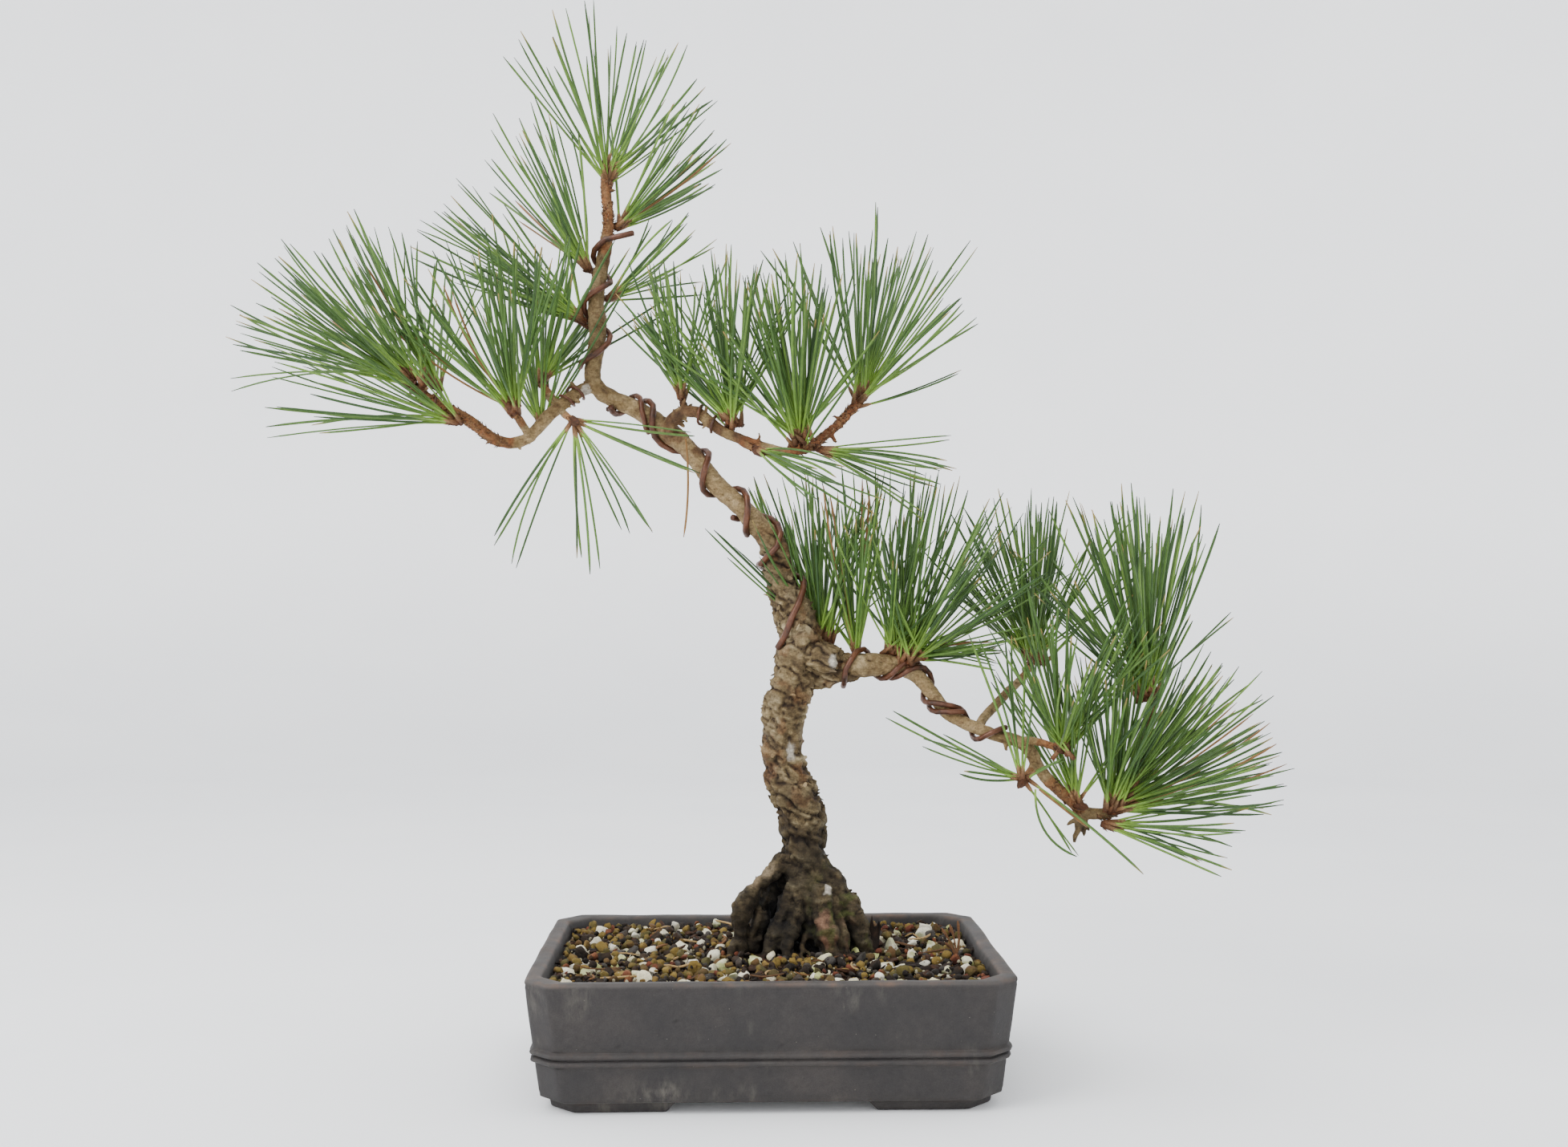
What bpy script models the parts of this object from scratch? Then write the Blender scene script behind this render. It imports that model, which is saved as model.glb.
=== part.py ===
"""A wired bonsai pine in a shallow, unglazed stoneware pot.

The pot's lowest faces, its feet, stand on z = 0 with the pot's middle on the origin. +X is to the
right along the pot's long side, -Y is the side it is shown from, +Z is up.
"""
import math
import random

import bmesh
import bpy
import numpy as np
from mathutils import Vector

MM = 0.001
GAP = 0.3 * MM                 # clearance left between two pieces that touch

# ---- pot -------------------------------------------------------------------------------------
POT_LENGTH = 235.0 * MM        # over the rim, along X
POT_WIDTH = 178.0 * MM         # over the rim, along Y
POT_HEIGHT = 63.0 * MM
POT_CHAMFER = 12.0 * MM        # the cut corners
RIM_WIDTH = 8.0 * MM
FOOT_HEIGHT = 5.0 * MM
FOOT_WIDTH = 10.0 * MM
FLOOR_THICK = 7.0 * MM
WALL_BASE_INSET = 11.5 * MM    # how far in the feet stand from the rim
INNER_FLOOR_INSET = 16.5 * MM
FRONT_GAP = 90.0 * MM          # the openings between the feet
SIDE_GAP = 62.0 * MM
GAP_SLANT = 4.0 * MM
HOLE_RADIUS = 9.0 * MM
HOLE_X = 48.0 * MM

# ---- drainage mesh and its wire clip ---------------------------------------------------------
MESH_BAR = 1.6 * MM
MESH_OPENING = 4.2 * MM
MESH_CELLS = 4
MESH_THICK = 1.2 * MM
CLIP_RADIUS = 0.6 * MM
CLIP_REACH = 13.0 * MM

# ---- soil ------------------------------------------------------------------------------------
SOIL_BELOW_RIM = 7.5 * MM
SOIL_EDGE_Z = POT_HEIGHT - SOIL_BELOW_RIM
SOIL_MOUND = 3.5 * MM
SOIL_ROUGH = 0.9 * MM

# The lists of points below are in millimetres, measured with the soil's edge at LISTED_SOIL_Z. The
# whole tree rises or sinks with the soil.
LISTED_SOIL_Z = 55.5 * MM
TREE_LIFT = SOIL_EDGE_Z - LISTED_SOIL_Z

# ---- wood: (x, y, z, radius) along each centreline ---------------------------------------------
TRUNK = [(22, 12, 38, 15.5), (22, 12, 55, 14.8), (21, 12, 77, 13.4), (19, 12, 104, 11.2),
         (18, 14, 128, 11.6), (15, 15, 140, 12.2), (9, 16, 152, 11.2), (7, 15, 164, 10.7),
         (7, 14, 176, 10.3), (10, 12, 189, 10.7), (14, 11, 201, 11.0), (16.5, 10, 213, 11.4),
         (16.5, 12, 225, 11.3), (11.5, 14, 241, 10.4), (7, 14, 253, 8.8), (5, 14, 265, 8.1),
         (1.5, 12, 274, 6.9), (-5, 10, 282, 5.8), (-17, 8, 294, 5.2), (-28, 8, 304, 5.1),
         (-37, 10, 316, 5.1), (-46, 12, 326, 5.4), (-54, 14, 333, 5.6), (-63, 16, 340, 5.1),
         (-72, 17, 345, 4.9), (-81, 17, 349, 4.7), (-88, 16, 352.5, 4.7), (-92.5, 15, 358, 4.7),
         (-93, 14, 365, 4.7), (-91, 12, 374, 4.7), (-90, 10, 382, 4.9), (-90, 10, 390, 5.1),
         (-91, 12, 399, 4.5), (-90, 14, 410, 4.3), (-88, 15, 420, 4.0), (-86, 14, 430, 3.6),
         (-84.5, 12, 440, 3.2), (-85, 12, 452, 3.0), (-86, 12, 461, 2.8), (-86, 12, 468, 2.4)]
ROOTS = {
    "aerial": [(10, 10, 106, 5.5), (3, 8, 100, 4.0), (-4, 6, 93, 4.0), (-10, 4, 87, 5.2),
               (-14, 3, 81, 5.6), (-16, 2, 72, 4.2), (-15, 2, 60, 4.2), (-14, 2, 47, 4.0)],
    "right": [(24, 11, 104, 7.0), (33, 9, 95, 6.6), (41, 7, 85, 6.2), (46, 5, 75, 5.8),
              (50, 4, 63, 5.4), (54, 4, 50, 4.8)],
    "centre": [(24, 8, 98, 7.5), (28, 2, 84, 7.4), (31, -2, 72, 6.6), (33, -6, 60, 5.8), (34, -9, 48, 5.0)],
    "left_front": [(16, 8, 92, 7.0), (9, 3, 78, 6.0), (3, -2, 66, 5.2), (-1, -5, 54, 4.6),
                   (-2, -7, 47, 4.2)],
    "back": [(24, 16, 96, 7.5), (30, 24, 80, 6.8), (36, 33, 66, 5.8), (40, 40, 50, 5.0)],
    "left_back": [(18, 18, 92, 7.0), (8, 27, 78, 5.8), (-2, 35, 64, 5.2), (-8, 40, 50, 4.6)],
}
KNOB = [(18, 10, 212, 9.5), (26, 6, 212, 9.0), (33, 3, 211, 7.6), (37, 1, 210.5, 6.2)]

BRANCHES = {
    "left_branch": [(-90, 15, 356, 3.4), (-97, 12, 354, 3.4), (-104, 8, 349, 3.4), (-110, 5, 343, 3.7),
                    (-115, 4, 339, 3.6), (-121, 6, 332, 3.4), (-127, 8, 327, 3.2),
                    (-135, 6, 324.5, 3.2), (-144, 2, 327, 3.2), (-153, -2, 334, 3.1),
                    (-163, -6, 340, 3.1), (-171, -8, 343.5, 3.0), (-179, -10, 349, 2.8),
                    (-185, -12, 356, 2.5)],
    "upper_right_branch": [(-54, 14, 333, 3.8), (-49, 3, 338, 3.6), (-43, -3, 341, 3.4),
                           (-37, -6, 340, 3.2), (-31, -8, 335, 3.2), (-24, -10, 329.5, 3.0),
                           (-16, -12, 326, 2.8), (-6, -14, 322.5, 2.6), (7, -14, 319, 2.5),
                           (19, -10, 320.5, 2.5), (28, -4, 327, 2.5), (36, 2, 334, 2.6),
                           (44, 8, 343, 2.6), (50, 12, 350, 2.6)],
    "lower_right_branch": [(20, 12, 203, 7.4), (30, 11, 204, 7.3), (39, 7, 206, 7.1),
                           (49, 4, 208.5, 6.6), (58, 4, 208.5, 5.8), (67, 6, 208, 4.9),
                           (76, 8, 204.5, 4.4), (83, 7, 198, 4.1), (88, 5, 191, 3.9),
                           (94, 1, 183.5, 3.8), (102, -2, 178.5, 3.7), (110, -6, 175, 3.6),
                           (119, -9, 172, 3.6), (128, -11, 170, 3.6), (135, -12, 165, 3.6),
                           (139, -10, 157, 3.4), (146, -8, 148, 3.4), (157, -5, 138.5, 3.3),
                           (166, -2, 129, 3.2)],
}
SHOOTS = {                      # name: (what it grows from, centreline)
    "left_branch_fork": ("left_branch", [(-110, 5, 343, 2.9), (-115, 12, 350, 2.6), (-120, 18, 357, 2.2)]),
    "left_branch_front_twig": ("left_branch", [(-110, 5, 343, 2.2), (-105, -8, 338, 2.0),
                                               (-100, -19, 334, 1.8)]),
    "left_branch_mid_spur": ("left_branch", [(-125, 8, 328, 2.6), (-128, -3, 334, 2.5),
                                             (-131, -10, 339, 2.5)]),
    "upper_right_hanging_spur": ("upper_right_branch", [(-18, -11, 327, 2.2), (-12, -16, 322, 2.0),
                                                        (-7, -22, 319, 1.8)]),
    "lower_branch_back_shoot": ("lower_right_branch", [(109, -5, 175.5, 3.0), (113, 4, 180, 2.9),
                                                       (120, 15, 185, 2.8), (131, 26, 194, 2.6),
                                                       (141, 35, 202, 2.5), (147, 42, 211, 2.2)]),
    "lower_branch_side_twig": ("lower_right_branch", [(128, -11, 170, 2.6), (137, -19, 170, 2.3),
                                                      (147, -27, 167, 2.1)]),
    "lower_branch_low_spur": ("lower_right_branch", [(138, -10, 159, 2.4), (134, -19, 155, 2.2),
                                                     (129, -27, 151, 2.0)]),
    "lower_branch_end_shoot": ("lower_right_branch", [(163, -3, 132, 3.2), (174, -6, 131, 3.4),
                                                      (183, -8, 135, 3.3), (189, -9, 145, 2.8),
                                                      (193, -9, 158, 2.7), (198, -8, 175, 2.6),
                                                      (200, -8, 188, 2.5), (198, -8, 198, 2.3)]),
}

# ---- shaping wire: radius, host, then (x, z, degrees round the host; 0 is the front) -----------
TRUNK_WIRE_R = 1.65 * MM
LEADER_WIRE_R = 1.5 * MM
BRANCH_WIRE_R = 1.4 * MM
FINE_WIRE_R = 0.75 * MM
WIND_CLEAR = 0.45 * MM
WIND_STEP = 30.0                # degrees of winding between two points of a wire
WIRES = {
    "trunk_wire": (TRUNK_WIRE_R, "trunk",
                   [(15.5, 216, -62), (14, 232, -8), (8, 249, 75), (6, 258, 180), (4, 266, 290),
                    (2, 271, 370), (-2, 278, 440), (-10, 287, 560), (-14, 291, 610)], []),
    "upper_trunk_wire": (TRUNK_WIRE_R, "trunk",
                         [(-5, 282, -95), (-13, 290, 20), (-20, 297, 120), (-27, 303, 250),
                          (-33, 311, 370), (-40, 319, 500), (-47, 327, 590), (-60, 338, 720),
                          (-66, 342, 800), (-75, 346.5, 925), (-81, 349, 1035)], []),
    "second_trunk_wire": (BRANCH_WIRE_R, "trunk",
                          [(-59, 337, 630), (-66, 342, 722), (-75, 346.5, 850), (-82, 349, 975)], []),
    "leader_wire": (LEADER_WIRE_R, "trunk",
                    [(-93, 365, -95), (-91.5, 373, 5), (-90, 382, 100), (-90, 390, 190),
                     (-91, 399, 290), (-90.5, 405, 370), (-89, 414, 480), (-87, 424, 620),
                     (-85.5, 433, 715)],
                    [(-77, 5.5, 434), (-71, 7.5, 436)]),
    "lower_branch_wire": (BRANCH_WIRE_R, "lower_right_branch",
                          [(38, 206, 80), (43, 207, 0), (51, 209, -95), (58, 208.5, -230),
                           (66, 208, -350), (75, 205, -450), (84, 197, -560), (90, 188.5, -700),
                           (97, 181.5, -800), (106, 176.5, -935), (114, 173.5, -1060),
                           (122, 171.5, -1160)], []),
    "lower_branch_second_wire": (BRANCH_WIRE_R, "lower_right_branch",
                                 [(62, 208, -215), (70, 207, -330), (79, 202, -435), (87, 193, -560),
                                  (93.5, 184.5, -700), (100, 179.5, -785)], []),
    "left_branch_wire": (FINE_WIRE_R, "left_branch", [(-99, 353, -120), (-107, 346, 420)], []),
    "left_end_wire": (FINE_WIRE_R, "left_branch", [(-171, 343.5, -60), (-183, 353, 760)], []),
    "upper_right_wire": (FINE_WIRE_R, "upper_right_branch", [(-38, 340, -150), (-27, 332, 430)], []),
}

# ---- needle tufts ----------------------------------------------------------------------------
# name: (host, (x, z) on it or None for its tip, outward direction, bud radius, bundle tips, fill-ins)
# tips are (x, z) or (x, z, y) in millimetres
TUFTS = {
    "apex": ("trunk", None, None, 3.0,
             [(-138, 531), (-109, 553), (-93, 549, -22), (-76, 551), (-57, 545, 40), (-43, 541),
              (-36, 518)], 8),
    "leader_right": ("trunk", (-85, 441), (1, 0.6, 0.2), 2.4,
                     [(-45, 494), (-29, 481), (-35, 464), (-58, 506, 60)], 6),
    "leader_left_high": ("trunk", (-89, 417), (-1, 0.2, 0.3), 2.4,
                         [(-132, 508), (-133, 479), (-116, 501), (-150, 470, 50)], 6),
    "leader_left_low": ("trunk", (-90, 390), (-1, 0.3, 0.3), 2.4,
                        [(-198, 437), (-188, 442), (-177, 455), (-161, 463), (-150, 430, -45)], 6),
    "leader_right_low": ("trunk", (-90.5, 404), (1, 0.9, 0.1), 2.4, [(-38, 440), (-47, 447),
                                                                     (-30, 420, 60)], 5),
    "left_end": ("left_branch", None, None, 3.2,
                 [(-284, 353), (-279, 391), (-262, 420), (-233, 423), (-221, 429), (-250, 400, -60)], 9),
    "left_lower": ("left_branch", (-160, 338), (-0.6, -0.8, -0.5), 2.4,
                   [(-261, 333), (-233, 330), (-245, 365, -55), (-196, 418, -60)], 5),
    "left_outer": ("left_branch", (-166, 342), (0, 0.6, 1), 2.6,
                   [(-206, 420), (-186, 431), (-170, 425, 60), (-240, 395, 50)], 7),
    "left_mid": ("left_branch_mid_spur", None, None, 2.6,
                 [(-165, 428), (-140, 437, -30), (-175, 395, -75), (-112, 415, -60)], 8),
    "left_inner": ("left_branch", (-120, 333), (0.3, 1, 0.5), 2.4, [(-128, 423, 45), (-157, 408, 60),
                                                                    (-95, 405, 70)], 6),
    "left_fork": ("left_branch_fork", None, None, 2.6, [(-138, 441), (-106, 437), (-78, 419, 40),
                                                        (-95, 420, 75)], 7),
    "left_hanging": ("left_branch_front_twig", None, None, 2.2,
                     [(-142, 272), (-132, 256), (-88, 255), (-96, 264), (-38, 327), (-36, 307)], 1),
    "right_inner": ("upper_right_branch", (-43.5, 341), (0, -0.3, 1), 2.4,
                    [(-64, 394), (-57, 404, -30), (-25, 415, -50), (-62, 376)], 4),
    "right_second": ("upper_right_branch", (-22, 328.5), (0, 0.4, 1), 2.5,
                     [(-32, 425), (-20, 424), (-3, 416), (-45, 400, 55)], 6),
    "right_middle": ("upper_right_branch", (17, 320), (0, -0.2, 1), 2.6,
                     [(6, 420), (16, 427), (27, 418), (-48, 390), (-10, 400, -65), (45, 405, -50)], 8),
    "right_end": ("upper_right_branch", None, None, 3.2,
                  [(24, 434), (38, 438), (53, 437), (77, 428), (96, 419), (113, 401), (119, 389),
                   (111, 365), (55, 425, -70), (90, 395, -65)], 9),
    "right_hanging": ("upper_right_hanging_spur", None, None, 2.2, [(33, 303, -50), (60, 292, -60),
                                                                    (20, 290, -80)], 3),
    "right_droop": ("upper_right_branch", (22, 322.5), (0.3, -0.9, -0.5), 2.3,
                    [(94, 330), (96, 314), (88, 305), (79, 283)], 4),
    "knob": ("trunk", (15, 221), (1, 0.7, 0), 2.6, [(-14, 312), (4, 305), (10, 300, 60), (40, 300, 85)], 5),
    "lower_inner": ("lower_right_branch", (46, 208), (0, 0.9, 0.6), 2.6,
                    [(20, 317), (41, 322), (62, 325), (52, 300, -60)], 6),
    "lower_second": ("lower_right_branch", (69, 207.5), (0, 0.8, 1), 2.6,
                     [(52, 330), (80, 336), (95, 318, 50), (105, 290, 80)], 6),
    "lower_third": ("lower_right_branch", (84, 197), (0.5, -0.6, 0.8), 2.6,
                    [(89, 337), (114, 331), (124, 326), (139, 310), (128, 232), (130, 213),
                     (120, 280, -60)], 6),
    "back_shoot": ("lower_branch_back_shoot", None, None, 2.8,
                   [(106, 296), (128, 305), (147, 304), (160, 300), (150, 270, 108)], 8),
    "side_twig": ("lower_branch_side_twig", None, None, 2.4, [(135, 203, -108), (122, 238, -60),
                                                              (180, 240, -70)], 5),
    "low_spur": ("lower_branch_low_spur", None, None, 2.4,
                 [(60, 187), (85, 176), (97, 156), (101, 231), (121, 224), (133, 220), (157, 112)], 2),
    "end_shoot_top": ("lower_branch_end_shoot", None, None, 3.2,
                      [(174, 305), (185, 296), (209, 290), (225, 292), (237, 281), (249, 287),
                       (251, 268), (252, 231), (150, 290, 40), (215, 275, -75)], 9),
    "end_shoot_fan": ("lower_branch_end_shoot", (192, 156), (1, -0.4, 0.1), 2.8,
                      [(283, 137), (278, 129), (273, 157), (267, 169), (260, 184), (254, 202),
                       (251, 223)], 7),
    "end_shoot_low": ("lower_branch_end_shoot", (184, 136), (0.8, -0.6, -0.6), 2.8,
                      [(237, 108), (246, 105), (258, 125, -50), (264, 140, -45)], 4),
    "branch_end": ("lower_right_branch", (160, 135.5), (-0.4, -0.7, 0.6), 2.4,
                   [(118, 205), (136, 214), (160, 220, -60)], 4),
}
FILL_LENGTH = (0.82, 0.98)         # of the longest listed bundle of the same tuft
NEEDLE_ROOT_R = 0.8 * MM
NEEDLE_MID_R = 0.55 * MM
NEEDLE_TIP_R = 0.3 * MM
NEEDLE_CLEAR = 0.5 * MM
REACH_Y = (-108.0 * MM, 108.0 * MM)
TRIES = 160

RNG = random.Random(20)


# ---- helpers ---------------------------------------------------------------------------------
def collection(name):
    made = bpy.data.collections.new(name)
    bpy.context.scene.collection.children.link(made)
    return made


def material(name, colour, rough, metallic=0.0):
    made = bpy.data.materials.new(name)
    made.use_nodes = True
    shader = made.node_tree.nodes["Principled BSDF"]
    shader.inputs["Base Color"].default_value = (*colour, 1.0)
    shader.inputs["Roughness"].default_value = rough
    shader.inputs["Metallic"].default_value = metallic
    return made


def add_object(name, mesh, home, look=None):
    made = bpy.data.objects.new(name, mesh)
    home.objects.link(made)
    if look is not None:
        mesh.materials.clear()
        mesh.materials.append(look)
    return made


def as_cutter(obj):
    obj.hide_render = True
    obj.display_type = 'WIRE'
    return obj


def mesh_from(bm, name):
    bmesh.ops.recalc_face_normals(bm, faces=bm.faces[:])
    mesh = bpy.data.meshes.new(name)
    bm.to_mesh(mesh)
    bm.free()
    return mesh


def smooth_line(points, step):
    """Catmull-Rom through (x, y, z, radius) points, in metres, with about `step` between samples."""
    pts = [np.array(p, float) * MM + np.array((0, 0, TREE_LIFT, 0)) for p in points]
    pts = [2 * pts[0] - pts[1]] + pts + [2 * pts[-1] - pts[-2]]
    out = []
    for a, b, c, d in zip(pts, pts[1:], pts[2:], pts[3:]):
        count = max(1, int(round(np.linalg.norm(c[:3] - b[:3]) / step)))
        for k in range(count):
            t = k / count
            out.append(0.5 * (2 * b + (c - a) * t + (2 * a - 5 * b + 4 * c - d) * t ** 2
                              + (3 * b - 3 * c + d - a) * t ** 3))
    out.append(pts[-2])
    return np.array(out)


def tube(name, line, home, look=None, extra=0.0, sides_level=2):
    """A filled, capped tube through the rows of `line`, (x, y, z, radius)."""
    curve = bpy.data.curves.new(name, 'CURVE')
    curve.dimensions = '3D'
    curve.bevel_mode = 'ROUND'
    curve.bevel_depth = MM
    curve.bevel_resolution = sides_level
    curve.use_fill_caps = True
    curve.twist_mode = 'MINIMUM'
    spline = curve.splines.new('POLY')
    spline.points.add(len(line) - 1)
    for point, row in zip(spline.points, line):
        point.co = (row[0], row[1], row[2], 1.0)
        point.radius = (row[3] + extra) / MM
    source = bpy.data.objects.new(name + "_path", curve)
    home.objects.link(source)
    graph = bpy.context.evaluated_depsgraph_get()
    mesh = bpy.data.meshes.new_from_object(source.evaluated_get(graph), preserve_all_data_layers=False,
                                           depsgraph=graph)
    made = add_object(name, mesh, home, look)
    made.matrix_world = source.matrix_world.copy()
    bpy.data.objects.remove(source, do_unlink=True)
    bm = bmesh.new()
    bm.from_mesh(mesh)
    bmesh.ops.remove_doubles(bm, verts=bm.verts[:], dist=0.00001)
    bmesh.ops.recalc_face_normals(bm, faces=bm.faces[:])
    bm.to_mesh(mesh)
    bm.free()
    return made


def boolean(target, cutter, how):
    mod = target.modifiers.new("cut", 'BOOLEAN')
    mod.operation = how
    mod.solver = 'EXACT'
    mod.object = cutter
    graph = bpy.context.evaluated_depsgraph_get()
    graph.update()
    mesh = bpy.data.meshes.new_from_object(target.evaluated_get(graph), depsgraph=graph)
    old = target.data
    looks = [m for m in old.materials]
    target.modifiers.clear()
    target.data = mesh
    mesh.materials.clear()
    for look in looks:
        mesh.materials.append(look)
    mesh.polygons.foreach_set("material_index", [0] * len(mesh.polygons))
    bpy.data.meshes.remove(old)
    return target


def outline(half_x, half_y, chamfer):
    """The eight corners of a rectangle whose own corners are cut off."""
    return [(half_x, -half_y + chamfer), (half_x, half_y - chamfer), (half_x - chamfer, half_y),
            (-half_x + chamfer, half_y), (-half_x, half_y - chamfer), (-half_x, -half_y + chamfer),
            (-half_x + chamfer, -half_y), (half_x - chamfer, -half_y)]


def pot_ring(inset, chamfer=POT_CHAMFER):
    return outline(POT_LENGTH / 2 - inset, POT_WIDTH / 2 - inset, chamfer)


def loft(name, rings, home, look=None):
    """A closed solid through rings of equal count; each is (list of (x, y), z or list of z)."""
    bm = bmesh.new()
    rows = []
    for flat, height in rings:
        heights = height if isinstance(height, list) else [height] * len(flat)
        rows.append([bm.verts.new((x, y, z)) for (x, y), z in zip(flat, heights)])
    count = len(rows[0])
    for low, high in zip(rows, rows[1:]):
        for i in range(count):
            j = (i + 1) % count
            bm.faces.new((low[i], low[j], high[j], high[i]))
    bm.faces.new(rows[0][::-1])
    bm.faces.new(rows[-1])
    return add_object(name, mesh_from(bm, name), home, look)


def box(name, centre, size, home, look=None):
    bm = bmesh.new()
    bmesh.ops.create_cube(bm, size=1.0)
    bmesh.ops.scale(bm, vec=size, verts=bm.verts[:])
    bmesh.ops.translate(bm, vec=centre, verts=bm.verts[:])
    return add_object(name, mesh_from(bm, name), home, look)


# ---- the object ------------------------------------------------------------------------------
for old_object in list(bpy.data.objects):
    bpy.data.objects.remove(old_object, do_unlink=True)

PARTS = collection("bonsai_tree_in_pot")
CUTTERS = collection("bonsai_cutters")

CLAY = material("unglazed_stoneware", (0.093, 0.089, 0.087), 0.75)
PLASTIC = material("black_mesh_plastic", (0.02, 0.02, 0.02), 0.5)
CLIP_METAL = material("clip_aluminium", (0.6, 0.6, 0.6), 0.4, 1.0)
SOIL = material("bonsai_soil", (0.22, 0.17, 0.09), 0.95)
BARK = material("pine_bark", (0.2, 0.13, 0.075), 0.9)
TWIG = material("young_pine_bark", (0.28, 0.19, 0.11), 0.85)
COPPER = material("anodised_wire", (0.16, 0.05, 0.028), 0.45, 0.6)
NEEDLE = material("pine_needles", (0.07, 0.17, 0.03), 0.5)

# Pot: a tapering body with cut corners, a double rib, a flat rim and four corner feet.
RIB_Z = 23.4 * MM
RIB_OUT = 1.7 * MM


def wall_inset(z):
    """How far the outer wall stands in from the rim at height z, above the feet."""
    return (POT_HEIGHT - 2 * MM - z) / (POT_HEIGHT - FOOT_HEIGHT) * 7.0 * MM


def rib(base_z):
    """Three rings that round one rib, 3 mm tall."""
    face = wall_inset(base_z)
    return [(face, base_z), (face - RIB_OUT * 0.8, base_z + 0.7 * MM), (face - RIB_OUT, base_z + 1.5 * MM),
            (face - RIB_OUT * 0.8, base_z + 2.3 * MM), (face, base_z + 3.0 * MM)]


profile = [(WALL_BASE_INSET + 0.8 * MM, 0.0), (WALL_BASE_INSET, 0.8 * MM),
           (WALL_BASE_INSET - 0.5 * MM, FOOT_HEIGHT),
           (wall_inset(FOOT_HEIGHT) + 0.6 * MM, FOOT_HEIGHT + 0.6 * MM), (wall_inset(8 * MM), 8 * MM)]
profile += rib(RIB_Z)
profile += rib(RIB_Z + 3.6 * MM)
profile += [(wall_inset(POT_HEIGHT - 3 * MM), POT_HEIGHT - 3 * MM), (0.0, POT_HEIGHT - 1.6 * MM),
            (1.2 * MM, POT_HEIGHT)]
pot = loft("pot", [(pot_ring(inset), z) for inset, z in profile], PARTS, CLAY)

floor_top = FOOT_HEIGHT + FLOOR_THICK


def inner_inset(z):
    """How far the pot's inside face stands in from the rim's outer edge at height z."""
    share = (z - floor_top) / (POT_HEIGHT - floor_top)
    return INNER_FLOOR_INSET + (RIM_WIDTH - INNER_FLOOR_INSET) * share


cavity_rings = [(pot_ring(INNER_FLOOR_INSET + 1.5 * MM), floor_top),
                (pot_ring(inner_inset(floor_top + 1.5 * MM)), floor_top + 1.5 * MM),
                (pot_ring(inner_inset(POT_HEIGHT - 1.2 * MM)), POT_HEIGHT - 1.2 * MM),
                (pot_ring(RIM_WIDTH - 1.2 * MM), POT_HEIGHT + 0.2 * MM),
                (pot_ring(RIM_WIDTH - 1.2 * MM), POT_HEIGHT + 3 * MM)]
cavity = as_cutter(loft("pot_cavity", cavity_rings, CUTTERS))
boolean(pot, cavity, 'DIFFERENCE')
recess_rings = [(pot_ring(WALL_BASE_INSET + FOOT_WIDTH), -2 * MM),
                (pot_ring(WALL_BASE_INSET + FOOT_WIDTH + 1 * MM), FOOT_HEIGHT)]
recess = as_cutter(loft("pot_underside", recess_rings, CUTTERS))
boolean(pot, recess, 'DIFFERENCE')


def foot_gap(name, width, along_x):
    """A slant-ended bar that opens the foot ring on two opposite sides."""
    low = width / 2 + GAP_SLANT * 1.4
    high = width / 2
    reach = POT_LENGTH
    rings = []
    for half, z in ((low, -2 * MM), (high, FOOT_HEIGHT)):
        if along_x:
            rings.append(([(half, -reach), (half, reach), (-half, reach), (-half, -reach)], z))
        else:
            rings.append(([(reach, -half), (reach, half), (-reach, half), (-reach, -half)], z))
    return as_cutter(loft(name, rings, CUTTERS))


boolean(pot, foot_gap("foot_gap_front", FRONT_GAP, True), 'DIFFERENCE')
boolean(pot, foot_gap("foot_gap_side", SIDE_GAP, False), 'DIFFERENCE')
for side in (-1, 1):
    bm = bmesh.new()
    bmesh.ops.create_cone(bm, cap_ends=True, segments=20, radius1=HOLE_RADIUS, radius2=HOLE_RADIUS,
                          depth=3 * FLOOR_THICK)
    bmesh.ops.translate(bm, vec=(side * HOLE_X, 0, FOOT_HEIGHT + FLOOR_THICK / 2), verts=bm.verts[:])
    hole_name = "drain_hole_left" if side < 0 else "drain_hole_right"
    hole = as_cutter(add_object(hole_name, mesh_from(bm, hole_name), CUTTERS))
    boolean(pot, hole, 'DIFFERENCE')

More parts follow.
